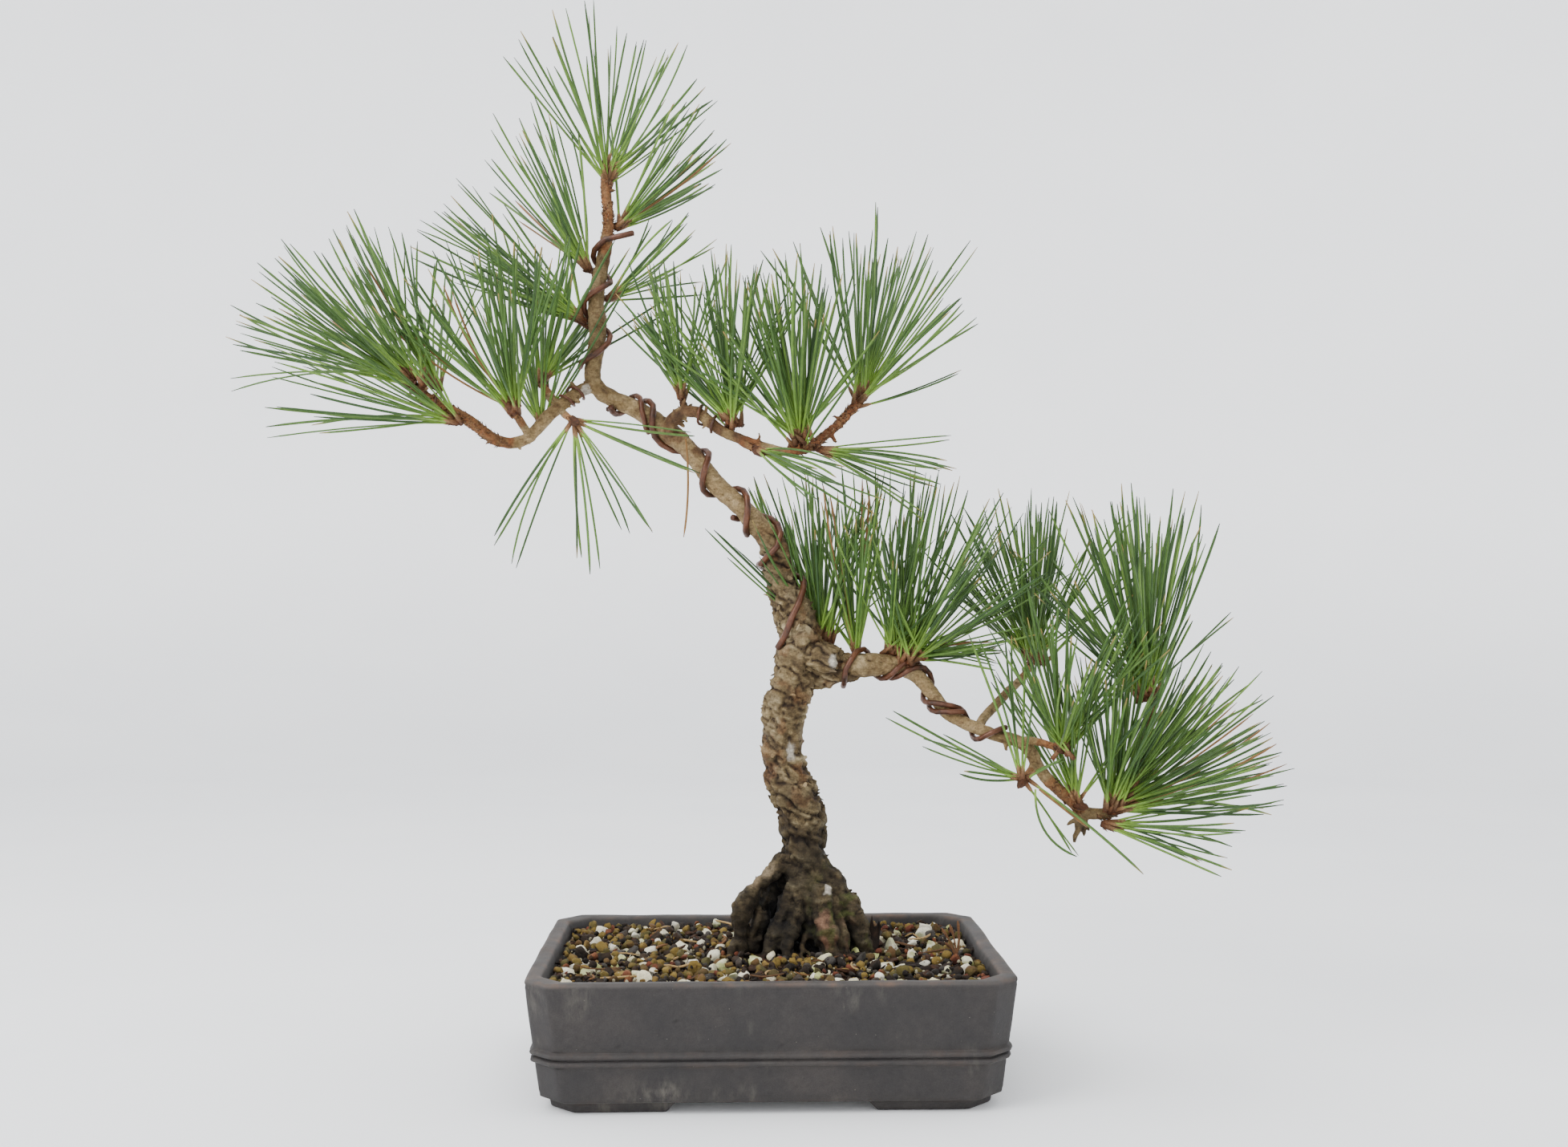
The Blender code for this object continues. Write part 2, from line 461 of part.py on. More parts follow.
# Drainage mesh: a sheet of square openings over each hole, held by a bent wire clip.
mesh_pitch = MESH_OPENING + MESH_BAR
mesh_size = MESH_CELLS * mesh_pitch + MESH_BAR
mesh_base = floor_top + GAP
clip_top = mesh_base + MESH_THICK + GAP + CLIP_RADIUS
soil_pockets = []
for side in (-1, 1):
    tag = "left" if side < 0 else "right"
    bm = bmesh.new()
    cells = 2 * MESH_CELLS + 1
    bmesh.ops.create_grid(bm, x_segments=cells, y_segments=cells, size=1.0)
    edges = [0.0]
    for k in range(cells):
        edges.append(edges[-1] + (MESH_OPENING if k % 2 else MESH_BAR))
    opened = []
    for face in bm.faces:
        middle = face.calc_center_median()
        i = int((middle.x + 1) / 2 * cells)
        j = int((middle.y + 1) / 2 * cells)
        if i % 2 and j % 2:
            opened.append(face)
    for vert in bm.verts:
        i = int(round((vert.co.x + 1) / 2 * cells))
        j = int(round((vert.co.y + 1) / 2 * cells))
        vert.co = (side * HOLE_X + edges[i] - mesh_size / 2, edges[j] - mesh_size / 2, mesh_base)
    bmesh.ops.delete(bm, geom=opened, context='FACES')
    screen = bpy.data.meshes.new("drainage_mesh_" + tag)
    bm.to_mesh(screen)
    bm.free()
    screen_object = add_object("drainage_mesh_" + tag, screen, PARTS, PLASTIC)
    thick = screen_object.modifiers.new("thick", 'SOLIDIFY')
    thick.thickness = MESH_THICK
    thick.offset = 1.0
    leg = mesh_pitch / 2
    under = FOOT_HEIGHT - GAP - CLIP_RADIUS
    x0 = side * HOLE_X
    path = [(x0 - CLIP_REACH, leg, under), (x0 - leg, leg, under), (x0 - leg, leg, clip_top),
            (x0 + leg, leg, clip_top), (x0 + leg, leg, under), (x0 + CLIP_REACH, leg, under)]
    tube("mesh_clip_" + tag, [(*p, CLIP_RADIUS) for p in path], PARTS, CLIP_METAL, sides_level=1)
    pocket_top = clip_top + CLIP_RADIUS + GAP
    soil_pockets.append(as_cutter(box("soil_pocket_" + tag, (x0, 0, pocket_top / 2),
                                      (mesh_size + 2 * GAP, mesh_size + 2 * GAP, pocket_top), CUTTERS)))

# Wood: the trunk with its surface roots, the branches trimmed to it, and the shoots on them.
LINES = {"trunk": smooth_line(TRUNK, 7.5 * MM)}
trunk = tube("trunk", LINES["trunk"], PARTS, BARK, sides_level=2)
trunk_gap = as_cutter(tube("trunk_clearance", LINES["trunk"], CUTTERS, extra=GAP, sides_level=2))
soil_cutters = [as_cutter(tube("trunk_seat", LINES["trunk"], CUTTERS, extra=GAP, sides_level=2))]
for key, points in list(ROOTS.items()) + [("knob", KNOB)]:
    line = smooth_line(points, 9 * MM)
    root = as_cutter(tube("root_" + key, line, CUTTERS))
    boolean(trunk, root, 'UNION')
    wide = as_cutter(tube("root_clearance_" + key, line, CUTTERS, extra=GAP))
    boolean(trunk_gap, wide, 'UNION')
    if key in ROOTS:
        soil_cutters.append(wide)

wood = {"trunk": trunk}
for key, points in BRANCHES.items():
    LINES[key] = smooth_line(points, 5 * MM)
    wood[key] = tube(key, LINES[key], PARTS, TWIG)
    boolean(wood[key], trunk_gap, 'DIFFERENCE')
for key, (host, points) in SHOOTS.items():
    LINES[key] = smooth_line(points, 6 * MM)
    wood[key] = tube(key, LINES[key], PARTS, TWIG, sides_level=1)
    near = as_cutter(tube(key + "_seat", LINES[host], CUTTERS, extra=GAP))
    boolean(wood[key], near, 'DIFFERENCE')


def host_station(host, x, z):
    """The index, with its fraction, of the point of a host's centreline nearest to (x, z)."""
    line = LINES[host]
    best = (1e9, 0.0)
    target = np.array((x * MM, z * MM + TREE_LIFT))
    for i in range(len(line) - 1):
        a = line[i][[0, 2]]
        b = line[i + 1][[0, 2]]
        run = b - a
        t = float(np.clip(np.dot(target - a, run) / np.dot(run, run), 0, 1))
        gap = float(np.linalg.norm(a + run * t - target))
        if gap < best[0]:
            best = (gap, i + t)
    return best[1]


def at_station(host, station):
    """Position, radius and direction of a host's centreline at a station."""
    line = LINES[host]
    i = min(int(station), len(line) - 2)
    row = line[i] + (line[i + 1] - line[i]) * (station - i)
    before = line[max(i - 1, 0)][:3]
    after = line[min(i + 2, len(line) - 1)][:3]
    way = (after - before) / np.linalg.norm(after - before)
    return row[:3], row[3], way


def wound(host, stations, wire_radius, tail):
    """A wire wound on its host through (station, degrees) pairs, then out along a free tail."""
    rows = []
    for (s0, a0), (s1, a1) in zip(stations, stations[1:]):
        count = max(1, int(round(abs(a1 - a0) / WIND_STEP)))
        for k in range(count):
            rows.append((s0 + (s1 - s0) * k / count, a0 + (a1 - a0) * k / count))
    rows.append(stations[-1])
    out = []
    for station, degrees in rows:
        centre, radius, way = at_station(host, station)
        front = np.array((0.0, -1.0, 0.0))
        front -= way * np.dot(front, way)
        front /= np.linalg.norm(front)
        side = np.cross(way, front)
        turn = math.radians(degrees)
        reach = radius + wire_radius + WIND_CLEAR
        out.append((*(centre + (front * math.cos(turn) + side * math.sin(turn)) * reach), wire_radius))
    for x, y, z in tail:
        out.append((x * MM, y * MM, z * MM + TREE_LIFT, wire_radius))
    return out


wire_paths = {}
for key, (radius, host, controls, tail) in WIRES.items():
    stations = [(host_station(host, x, z), degrees) for x, z, degrees in controls]
    wire_paths[key] = np.array(wound(host, stations, radius, tail))
    tube(key, wire_paths[key], PARTS, COPPER, sides_level=2 if radius > MM else 1)

# Soil: a mounded bed that fills the pot, with room left for the roots and the drainage mesh.
SOIL_AROUND = 6


def soil_ring(scale, z):
    """A ring of the bed's outline, subdivided and drawn in towards the middle by `scale`."""
    corners = pot_ring(inner_inset(z) + GAP * 1.2)
    ring = []
    for (ax, ay), (bx, by) in zip(corners, corners[1:] + corners[:1]):
        count = SOIL_AROUND if math.hypot(bx - ax, by - ay) > 2 * POT_CHAMFER else 1
        for k in range(count):
            ring.append(((ax + (bx - ax) * k / count) * scale, (ay + (by - ay) * k / count) * scale))
    return ring


soil_rings = [(soil_ring(0.98, floor_top + 2.5 * MM), floor_top + GAP),
              (soil_ring(1.0, SOIL_EDGE_Z), SOIL_EDGE_Z)]
for scale in (0.9, 0.78, 0.66, 0.54, 0.42, 0.3, 0.18, 0.07):
    flat = soil_ring(scale, SOIL_EDGE_Z)
    heights = []
    for x, y in flat:
        away = math.hypot(x - 20 * MM, y - 12 * MM)
        mound = SOIL_MOUND * math.exp(-(away / (45 * MM)) ** 2)
        heights.append(SOIL_EDGE_Z + mound + RNG.uniform(-1, 1) * SOIL_ROUGH)
    soil_rings.append((flat, heights))
soil = loft("soil_bed", soil_rings, PARTS, SOIL)
bm = bmesh.new()
bm.from_mesh(soil.data)
bmesh.ops.triangulate(bm, faces=bm.faces[:])      # the mound's four-sided faces aren't flat
bm.to_mesh(soil.data)
bm.free()
for cutter in soil_cutters + soil_pockets:
    boolean(soil, cutter, 'DIFFERENCE')

# Needles: each tuft is a bud on the wood with bundles of needles drawn out of its facets.
blocked = []                    # (start, end, radius, owner) of everything a bundle must clear
for key, line in LINES.items():
    for a, b in zip(line, line[1:]):
        blocked.append((a[:3], b[:3], max(a[3], b[3]), key))
for key, line in wire_paths.items():
    for a, b in zip(line, line[1:]):
        blocked.append((a[:3], b[:3], a[3], key))


def closest(p, q, starts, ends):
    """Distances from the segment p-q to many segments."""
    d1 = q - p
    d2 = ends - starts
    r = p - starts
    a = float(d1 @ d1)
    e = np.maximum((d2 * d2).sum(1), 1e-12)
    f = (d2 * r).sum(1)
    c = r @ d1
    b = d2 @ d1
    denom = np.maximum(a * e - b * b, 1e-18)
    s = np.clip((b * f - c * e) / denom, 0, 1)
    t = np.clip((b * s + f) / e, 0, 1)
    s = np.clip((b * t - c) / a, 0, 1)
    return np.linalg.norm((p + np.outer(s, d1)) - (starts + d2 * t[:, None]), axis=1)


buds = {}
for key, (host, spot, outward, size, tips, fill) in TUFTS.items():
    size_m = size * MM
    if spot is None:
        end, radius, way = at_station(host, len(LINES[host]) - 1)
        centre = end + way * (size_m + GAP)
    else:
        foot, radius, way = at_station(host, host_station(host, *spot))
        out_dir = np.array(outward, float)
        out_dir -= way * np.dot(out_dir, way)
        out_dir /= np.linalg.norm(out_dir)
        centre = foot + out_dir * (radius + size_m + GAP)
    buds[key] = (centre, size_m)
    blocked.append((centre, centre + 1e-6, size_m, "bud_" + key))

WALL = [np.array([row[k] for row in blocked]) for k in range(3)]
OWNER = [row[3] for row in blocked]


def bundle_path(centre, size, tip, droop):
    """Start, middle and end of a bundle that leaves the bud and curves to its tip."""
    run = tip - centre
    start = centre + run / np.linalg.norm(run) * size * 1.3
    middle = centre + run * 0.5 + np.array((0, 0, -droop * np.linalg.norm(run)))
    return start, middle, tip


def is_clear(path, name, host):
    """True if a bundle keeps off the wood, the wires and every other tuft's bundles."""
    start, middle, tip = path
    lower_end = start + (middle - start) * 0.04
    for p, q, own in ((lower_end, middle, NEEDLE_ROOT_R), (middle, tip, NEEDLE_MID_R)):
        room = closest(p, q, WALL[0], WALL[1]) - WALL[2] - own
        for gap, who in zip(room, OWNER):
            if gap < (0.2 * NEEDLE_CLEAR if who == host else NEEDLE_CLEAR) and who != "bud_" + name:
                return False
        if grown[0]:
            room = closest(p, q, np.array(grown[0]), np.array(grown[1])) - np.array(grown[2]) - own
            if room.min() < NEEDLE_CLEAR:
                return False
    return True


grown = ([], [], [])


def grow(name):
    """The directions of one tuft: its listed bundles, then fill-ins between and around them."""
    host, spot, outward, size, tips, fill = TUFTS[name]
    centre, size_m = buds[name]
    rng = random.Random(name)
    wanted = []
    for tip in tips:
        y = tip[2] * MM if len(tip) > 2 else centre[1] + rng.uniform(-12, 12) * MM
        wanted.append((np.array((tip[0] * MM, y, tip[1] * MM + TREE_LIFT)), 3.0 * MM))
    ways = [(t - centre) / np.linalg.norm(t - centre) for t, _ in wanted]
    longest = max(np.linalg.norm(t - centre) for t, _ in wanted)
    for k in range(fill):
        picks = rng.sample(ways, 2)
        share = rng.uniform(0.25, 0.75)
        way = picks[0] * share + picks[1] * (1 - share)
        way = way / max(np.linalg.norm(way), 0.3)
        way = way + np.array((0, (1 if k % 2 else -1) * rng.uniform(0.2, 0.95), 0))
        way /= np.linalg.norm(way)
        tip = centre + way * longest * rng.uniform(*FILL_LENGTH)
        wanted.append((tip, 14.0 * MM))
    kept = []
    for tip, loose in wanted:
        for attempt in range(TRIES):
            shift = np.array([rng.uniform(-1, 1) for _ in range(3)]) * loose * min(1.0, attempt / 12)
            if attempt > TRIES // 2:
                shift *= 2.0
            shift[1] *= 1.0 + attempt / 10
            end = tip + shift
            end[1] = min(max(end[1], REACH_Y[0]), REACH_Y[1])
            down = 0.05 if end[2] > centre[2] else -0.05
            path = bundle_path(centre, size_m, end, down)
            first = (path[1] - centre) / np.linalg.norm(path[1] - centre)
            if any(np.dot(first, (k[1] - centre) / np.linalg.norm(k[1] - centre)) > 0.985 for k in kept):
                continue
            if is_clear(path, name, host):
                kept.append(path)
                break
    for start, middle, end in kept:
        grown[0].extend((start, middle))
        grown[1].extend((middle, end))
        grown[2].extend((NEEDLE_ROOT_R, NEEDLE_MID_R))
    return kept


def set_ring(verts, centre, way, radius):
    """Move three vertices onto a small circle round `centre`, kept in their own order."""
    middle = sum((v.co for v in verts), Vector()) / len(verts)
    axis = Vector(way).normalized()
    for vert in verts:
        arm = vert.co - middle
        arm -= axis * arm.dot(axis)
        vert.co = Vector(centre) + arm.normalized() * radius


for key in TUFTS:
    centre, size_m = buds[key]
    kept = grow(key)
    bm = bmesh.new()
    bmesh.ops.create_icosphere(bm, subdivisions=2, radius=size_m)
    bmesh.ops.translate(bm, vec=Vector(centre), verts=bm.verts[:])
    free = [f for f in bm.faces]
    for start, middle, end in kept:
        way = Vector(middle - centre).normalized()
        face = max(free, key=lambda f: (f.calc_center_median() - Vector(centre)).normalized().dot(way))
        free.remove(face)
        for spot, radius, direction in ((middle, NEEDLE_MID_R, end - start),
                                        (end, NEEDLE_TIP_R, end - middle)):
            made = bmesh.ops.extrude_discrete_faces(bm, faces=[face])
            face = made["faces"][0]
            set_ring(list(face.verts), spot, direction, radius)
    add_object("needles_" + key, mesh_from(bm, "needles_" + key), PARTS, NEEDLE)
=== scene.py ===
import math

import bmesh
import bpy
import numpy as np
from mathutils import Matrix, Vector
from mathutils.bvhtree import BVHTree


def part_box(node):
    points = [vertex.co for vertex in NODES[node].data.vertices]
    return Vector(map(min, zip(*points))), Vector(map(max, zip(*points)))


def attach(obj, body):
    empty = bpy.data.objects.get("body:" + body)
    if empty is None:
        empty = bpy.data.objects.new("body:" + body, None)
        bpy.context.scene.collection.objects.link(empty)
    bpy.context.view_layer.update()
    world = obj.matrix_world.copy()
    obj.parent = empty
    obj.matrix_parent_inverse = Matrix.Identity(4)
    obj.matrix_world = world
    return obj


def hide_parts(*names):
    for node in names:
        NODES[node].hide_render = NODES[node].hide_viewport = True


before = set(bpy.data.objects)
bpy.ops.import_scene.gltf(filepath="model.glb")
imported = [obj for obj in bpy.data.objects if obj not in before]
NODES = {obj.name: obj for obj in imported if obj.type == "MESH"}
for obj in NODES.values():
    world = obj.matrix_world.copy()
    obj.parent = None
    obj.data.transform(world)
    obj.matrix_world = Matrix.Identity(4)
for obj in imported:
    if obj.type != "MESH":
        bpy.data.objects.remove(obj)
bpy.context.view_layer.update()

# Looks for the potted bonsai pine. Everything is in metres in the CAD frame: z = 0 is what the pot
# stands on, -Y is the viewing side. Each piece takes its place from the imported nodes.
MM = 0.001
ROOT = "root"

CAMERA_PLACE = (-0.021, -0.8793, 0.2417)
CAMERA_YAW = math.radians(1.9)
CAMERA_PITCH = math.radians(0.955)
CAMERA_LENS = 38.67
SENSOR_WIDTH = 36.0
OCTAVE_SHIFT = 17.3             # keeps the octaves of a fractal from lining up


# ---- noise -----------------------------------------------------------------------------------
def lattice_hash(ix, iy, iz, seed):
    """A repeatable number from 0 to 1 for each lattice point."""
    h = (ix.astype(np.int64) * 374761393 + iy.astype(np.int64) * 668265263
         + iz.astype(np.int64) * 2147483647 + seed * 144665) & 0xFFFFFFFF
    h = ((h ^ (h >> 13)) * 1274126177) & 0xFFFFFFFF
    h = ((h ^ (h >> 16)) * 2246822519) & 0xFFFFFFFF
    return ((h ^ (h >> 15)) & 0xFFFFFF) / float(0xFFFFFF)


def value_noise(points, seed):
    """Smooth noise from -1 to 1 with features about one unit across."""
    base = np.floor(points)
    f = points - base
    f = f * f * f * (f * (f * 6 - 15) + 10)
    i = base.astype(np.int64)
    total = 0
    for dx in (0, 1):
        for dy in (0, 1):
            for dz in (0, 1):
                weight = ((f[:, 0] if dx else 1 - f[:, 0]) * (f[:, 1] if dy else 1 - f[:, 1])
                          * (f[:, 2] if dz else 1 - f[:, 2]))
                total = total + weight * lattice_hash(i[:, 0] + dx, i[:, 1] + dy, i[:, 2] + dz, seed)
    return total * 2 - 1


def fractal(points, octaves, seed):
    """Value noise summed over octaves of half the size and half the strength each."""
    total = reach = 0
    for k in range(octaves):
        total = total + 0.5 ** k * value_noise(points * 2 ** k + OCTAVE_SHIFT * k, seed + k)
        reach += 0.5 ** k
    return total / reach


def cells(points, seed):
    """Distance to the nearest cell's centre, the gap to the second, and that cell's own number."""
    base = np.floor(points).astype(np.int64)
    first = np.full(len(points), 9.0)
    second = np.full(len(points), 9.0)
    name = np.zeros(len(points))
    for dx in (-1, 0, 1):
        for dy in (-1, 0, 1):
            for dz in (-1, 0, 1):
                ix, iy, iz = base[:, 0] + dx, base[:, 1] + dy, base[:, 2] + dz
                spot = np.stack([ix + lattice_hash(ix, iy, iz, seed), iy + lattice_hash(ix, iy, iz, seed + 1),
                                 iz + lattice_hash(ix, iy, iz, seed + 2)], 1)
                away = lengths(points - spot)
                closer = away < first
                second = np.where(closer, first, np.minimum(second, away))
                name = np.where(closer, lattice_hash(ix, iy, iz, seed + 3), name)
                first = np.where(closer, away, first)
    return first, second - first, name


def smoothstep(low, high, x):
    t = np.clip((x - low) / (high - low), 0, 1)
    return t * t * (3 - 2 * t)


def unit(v):
    return v / max(np.linalg.norm(v), 1e-12)


def lengths(rows):
    return np.linalg.norm(rows, axis=1)


# ---- mesh helpers ----------------------------------------------------------------------------
def vertices_of(mesh):
    out = np.empty(len(mesh.vertices) * 3)
    mesh.vertices.foreach_get("co", out)
    return out.reshape(-1, 3)


def normals_of(mesh):
    out = np.empty(len(mesh.vertices) * 3)
    mesh.vertex_normals.foreach_get("vector", out)
    return out.reshape(-1, 3)


def tree_over(mesh):
    """What rays are cast against and nearest points are looked up on."""
    return BVHTree.FromPolygons([v.co[:] for v in mesh.vertices], [tuple(f.vertices) for f in mesh.polygons])


def in_scene(name, data):
    obj = bpy.data.objects.new(name, data)
    bpy.context.scene.collection.objects.link(obj)
    return obj


def mesh_of(name, points, faces):
    """A mesh from an array of points and a list or array of faces."""
    mesh = bpy.data.meshes.new(name)
    mesh.from_pydata(points.tolist(), [], faces.tolist() if isinstance(faces, np.ndarray) else faces)
    return mesh


def made_with(name, make, **how):
    """A mesh made by one of bmesh's own operators."""
    bm = bmesh.new()
    make(bm, **how)
    mesh = bpy.data.meshes.new(name)
    bm.to_mesh(mesh)
    bm.free()
    return mesh


def new_piece(name, points, faces, material, colours=None, extra=None, smooth=True):
    """A piece from arrays, with its vertex colours, riding on the root body."""
    mesh = mesh_of(name, points, faces)
    mesh.validate()
    return finish_piece(name, mesh, material, colours, extra, smooth)


def finish_piece(name, mesh, material, colours=None, extra=None, smooth=True):
    """A piece from a mesh: its vertex colours and traits, material, body and slot."""
    for label, values in (("tint", colours), ("traits", extra)):
        if values is not None:
            layer = mesh.color_attributes.new(label, 'FLOAT_COLOR', 'POINT')
            full = np.ones((len(mesh.vertices), 4))
            full[:, :values.shape[1]] = values
            layer.data.foreach_set("color", full.ravel())
    mesh.polygons.foreach_set("use_smooth", [smooth] * len(mesh.polygons))
    mesh.materials.clear()
    mesh.materials.append(material)
    obj = in_scene(name, mesh)
    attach(obj, ROOT)
    return obj


def tubes(paths, radii, sides, rng, flat=1.0):
    """Closed tapered tubes along many paths at once: paths (m, n, 3), radii (m, n)."""
    paths, radii = np.array(paths), np.array(radii)
    m, n, _ = paths.shape
    way = np.gradient(paths, axis=1)
    way /= np.linalg.norm(way, axis=2, keepdims=True)
    across = np.cross(way, rng.normal(size=(m, 1, 3)))
    across /= np.linalg.norm(across, axis=2, keepdims=True)
    up = np.cross(way, across)
    turn = np.arange(sides) / sides * 2 * math.pi
    ring = (across[:, :, None] * np.cos(turn)[None, None, :, None]
            + up[:, :, None] * (np.sin(turn) * flat)[None, None, :, None])
    points = (paths[:, :, None] + ring * radii[:, :, None, None]).reshape(-1, 3)
    row = (np.arange(m) * n * sides)[:, None, None] + (np.arange(n - 1) * sides)[None, :, None]
    k = np.arange(sides)[None, None, :]
    k2 = (k + 1) % sides
    quads = np.stack([row + k, row + k2, row + sides + k2, row + sides + k], -1)
    faces = quads.reshape(-1, 4).tolist()
    for t in range(m):
        first = t * n * sides
        faces.append(list(range(first + sides - 1, first - 1, -1)))
        faces.append(list(range(first + (n - 1) * sides, first + n * sides)))
    return points, faces


def srgb(r, g, b):
    """A colour given as it looks on screen, 0 to 255, as linear light."""
    c = np.array((r, g, b)) / 255.0
    return np.where(c <= 0.04045, c / 12.92, ((c + 0.055) / 1.055) ** 2.4)


# ---- materials -------------------------------------------------------------------------------
class Look:
    """A material under construction: short names for the nodes that every look here uses."""

    def __init__(self, name, rough=0.6, specular=0.5):
        self.material = bpy.data.materials.new(name)
        self.material.use_nodes = True
        self.tree = self.material.node_tree
        self.shader = self.tree.nodes["Principled BSDF"]
        self.shader.inputs["Roughness"].default_value = rough
        self.shader.inputs["Specular IOR Level"].default_value = specular
        self.place = self.tree.nodes.new("ShaderNodeTexCoord").outputs["Object"]

    def node(self, kind, **values):
        made = self.tree.nodes.new(kind)
        for key, value in values.items():
            setattr(made, key, value)
        return made

    def link(self, a, b):
        self.tree.links.new(a, b)

    def attribute(self, name):
        return self.node("ShaderNodeVertexColor", layer_name=name).outputs["Color"]

    def split(self, colour):
        made = self.node("ShaderNodeSeparateColor")
        self.link(colour, made.inputs[0])
        return made.outputs

    def stretched(self, scale):
        made = self.node("ShaderNodeMapping")
        made.inputs["Scale"].default_value = scale
        self.link(self.place, made.inputs["Vector"])
        return made.outputs["Vector"]

    def noise(self, size, detail=4.0, rough=0.55, place=None):
        """Noise with features `size` metres across."""
        made = self.node("ShaderNodeTexNoise")
        made.inputs["Scale"].default_value = 1.0 / size
        made.inputs["Detail"].default_value = detail
        made.inputs["Roughness"].default_value = rough
        self.link(place or self.place, made.inputs["Vector"])
        return made.outputs["Fac"]

    def spots(self, size, place=None):
        """Distance to the nearest of scattered points about `size` metres apart."""
        made = self.node("ShaderNodeTexVoronoi")
        made.inputs["Scale"].default_value = 1.0 / size
        self.link(place or self.place, made.inputs["Vector"])
        return made.outputs["Distance"]

    def ramp(self, value, *stops):
        """Colours or plain numbers placed along a value, as (place, colour) pairs."""
        made = self.node("ShaderNodeValToRGB")
        band = made.color_ramp
        while len(band.elements) < len(stops):
            band.elements.new(0.5)
        for element, (at, colour) in zip(band.elements, stops):
            element.position = at
            element.color = (*colour, 1.0) if hasattr(colour, "__len__") else (colour, colour, colour, 1.0)
        self.link(value, made.inputs["Fac"])
        return made.outputs["Color"]

    def shaded(self, tone, value, *stops):
        """A colour multiplied by a ramp of grey."""
        return self.mix(1.0, tone, self.ramp(value, *stops), 'MULTIPLY')

    def mix(self, factor, a, b, how='MIX'):
        made = self.node("ShaderNodeMix", data_type='RGBA', blend_type=how)
        for slot, value in ((0, factor), (6, a), (7, b)):
            if isinstance(value, bpy.types.NodeSocket):
                self.link(value, made.inputs[slot])
            elif slot == 0:
                made.inputs[0].default_value = value
            else:
                made.inputs[slot].default_value = (*value, 1.0)
        return made.outputs[2]

    def math(self, how, a, b=0.0):
        made = self.node("ShaderNodeMath", operation=how)
        for slot, value in enumerate((a, b)):
            if isinstance(value, bpy.types.NodeSocket):
                self.link(value, made.inputs[slot])
            else:
                made.inputs[slot].default_value = value
        return made.outputs[0]

    def bump(self, height, depth, strength=1.0):
        made = self.node("ShaderNodeBump")
        made.inputs["Strength"].default_value = strength
        made.inputs["Distance"].default_value = depth
        self.link(height, made.inputs["Height"])
        self.link(made.outputs["Normal"], self.shader.inputs["Normal"])

    def colour(self, value):
        self.link(value, self.shader.inputs["Base Color"])

    def roughness(self, value):
        self.link(value, self.shader.inputs["Roughness"])


def needle_look():
    look = Look("living_needles", 0.5, 0.25)
    tint = look.attribute("tint")
    streak = look.noise(2.2 * MM, 3.0, place=look.stretched((1, 1, 0.3)))
    look.colour(look.shaded(tint, streak, (0.3, 0.78), (0.7, 1.2)))
    look.roughness(look.ramp(streak, (0.3, 0.42), (0.7, 0.58)))
    return look.material


def scale_look():
    look = Look("bud_scales", 0.7, 0.3)
    tint = look.attribute("tint")
    fibre = look.noise(0.9 * MM, 4.0)
    look.colour(look.shaded(tint, fibre, (0.3, 0.55), (0.72, 1.35)))
    look.bump(fibre, 0.3 * MM, 0.6)
    return look.material


def bark_look():
    """Bark whose mesh carries its colour, with finer grain and roughness added here."""
    look = Look("pine_bark", 0.86, 0.25)
    tint = look.attribute("tint")
    cracks_and_hollow_shade = look.split(look.attribute("traits"))[0]
    fine = look.noise(0.9 * MM, 5.0, 0.65)
    grain = look.noise(2.4 * MM, 4.0, 0.6, place=look.stretched((1.0, 1.0, 2.2)))
    tone = look.shaded(tint, fine, (0.3, 0.66), (0.7, 1.34))
    look.colour(look.shaded(tone, grain, (0.32, 0.74), (0.66, 1.18)))
    look.roughness(look.ramp(cracks_and_hollow_shade, (0.0, 0.8), (1.0, 0.95)))
    look.bump(look.math('ADD', look.math('MULTIPLY', grain, 0.8), fine), 0.55 * MM, 0.9)
    return look.material


def wire_look():
    look = Look("brown_anodised_wire", 0.4, 0.5)
    look.shader.inputs["Metallic"].default_value = 0.3
    blotch = look.noise(9 * MM, 5.0, 0.65)
    tone = look.ramp(blotch, (0.3, srgb(44, 29, 20)), (0.5, srgb(82, 46, 27)), (0.72, srgb(110, 68, 42)))
    streak = look.noise(0.8 * MM, 3.0, place=look.stretched((0.25, 1, 1)))
    scratch = look.ramp(streak, (0.62, 0.0), (0.7, 0.5))
    look.colour(look.mix(scratch, tone, srgb(46, 30, 26)))
    look.roughness(look.ramp(blotch, (0.3, 0.55), (0.7, 0.32)))
    look.bump(look.noise(0.9 * MM, 3.0), 0.15 * MM, 0.5)
    return look.material


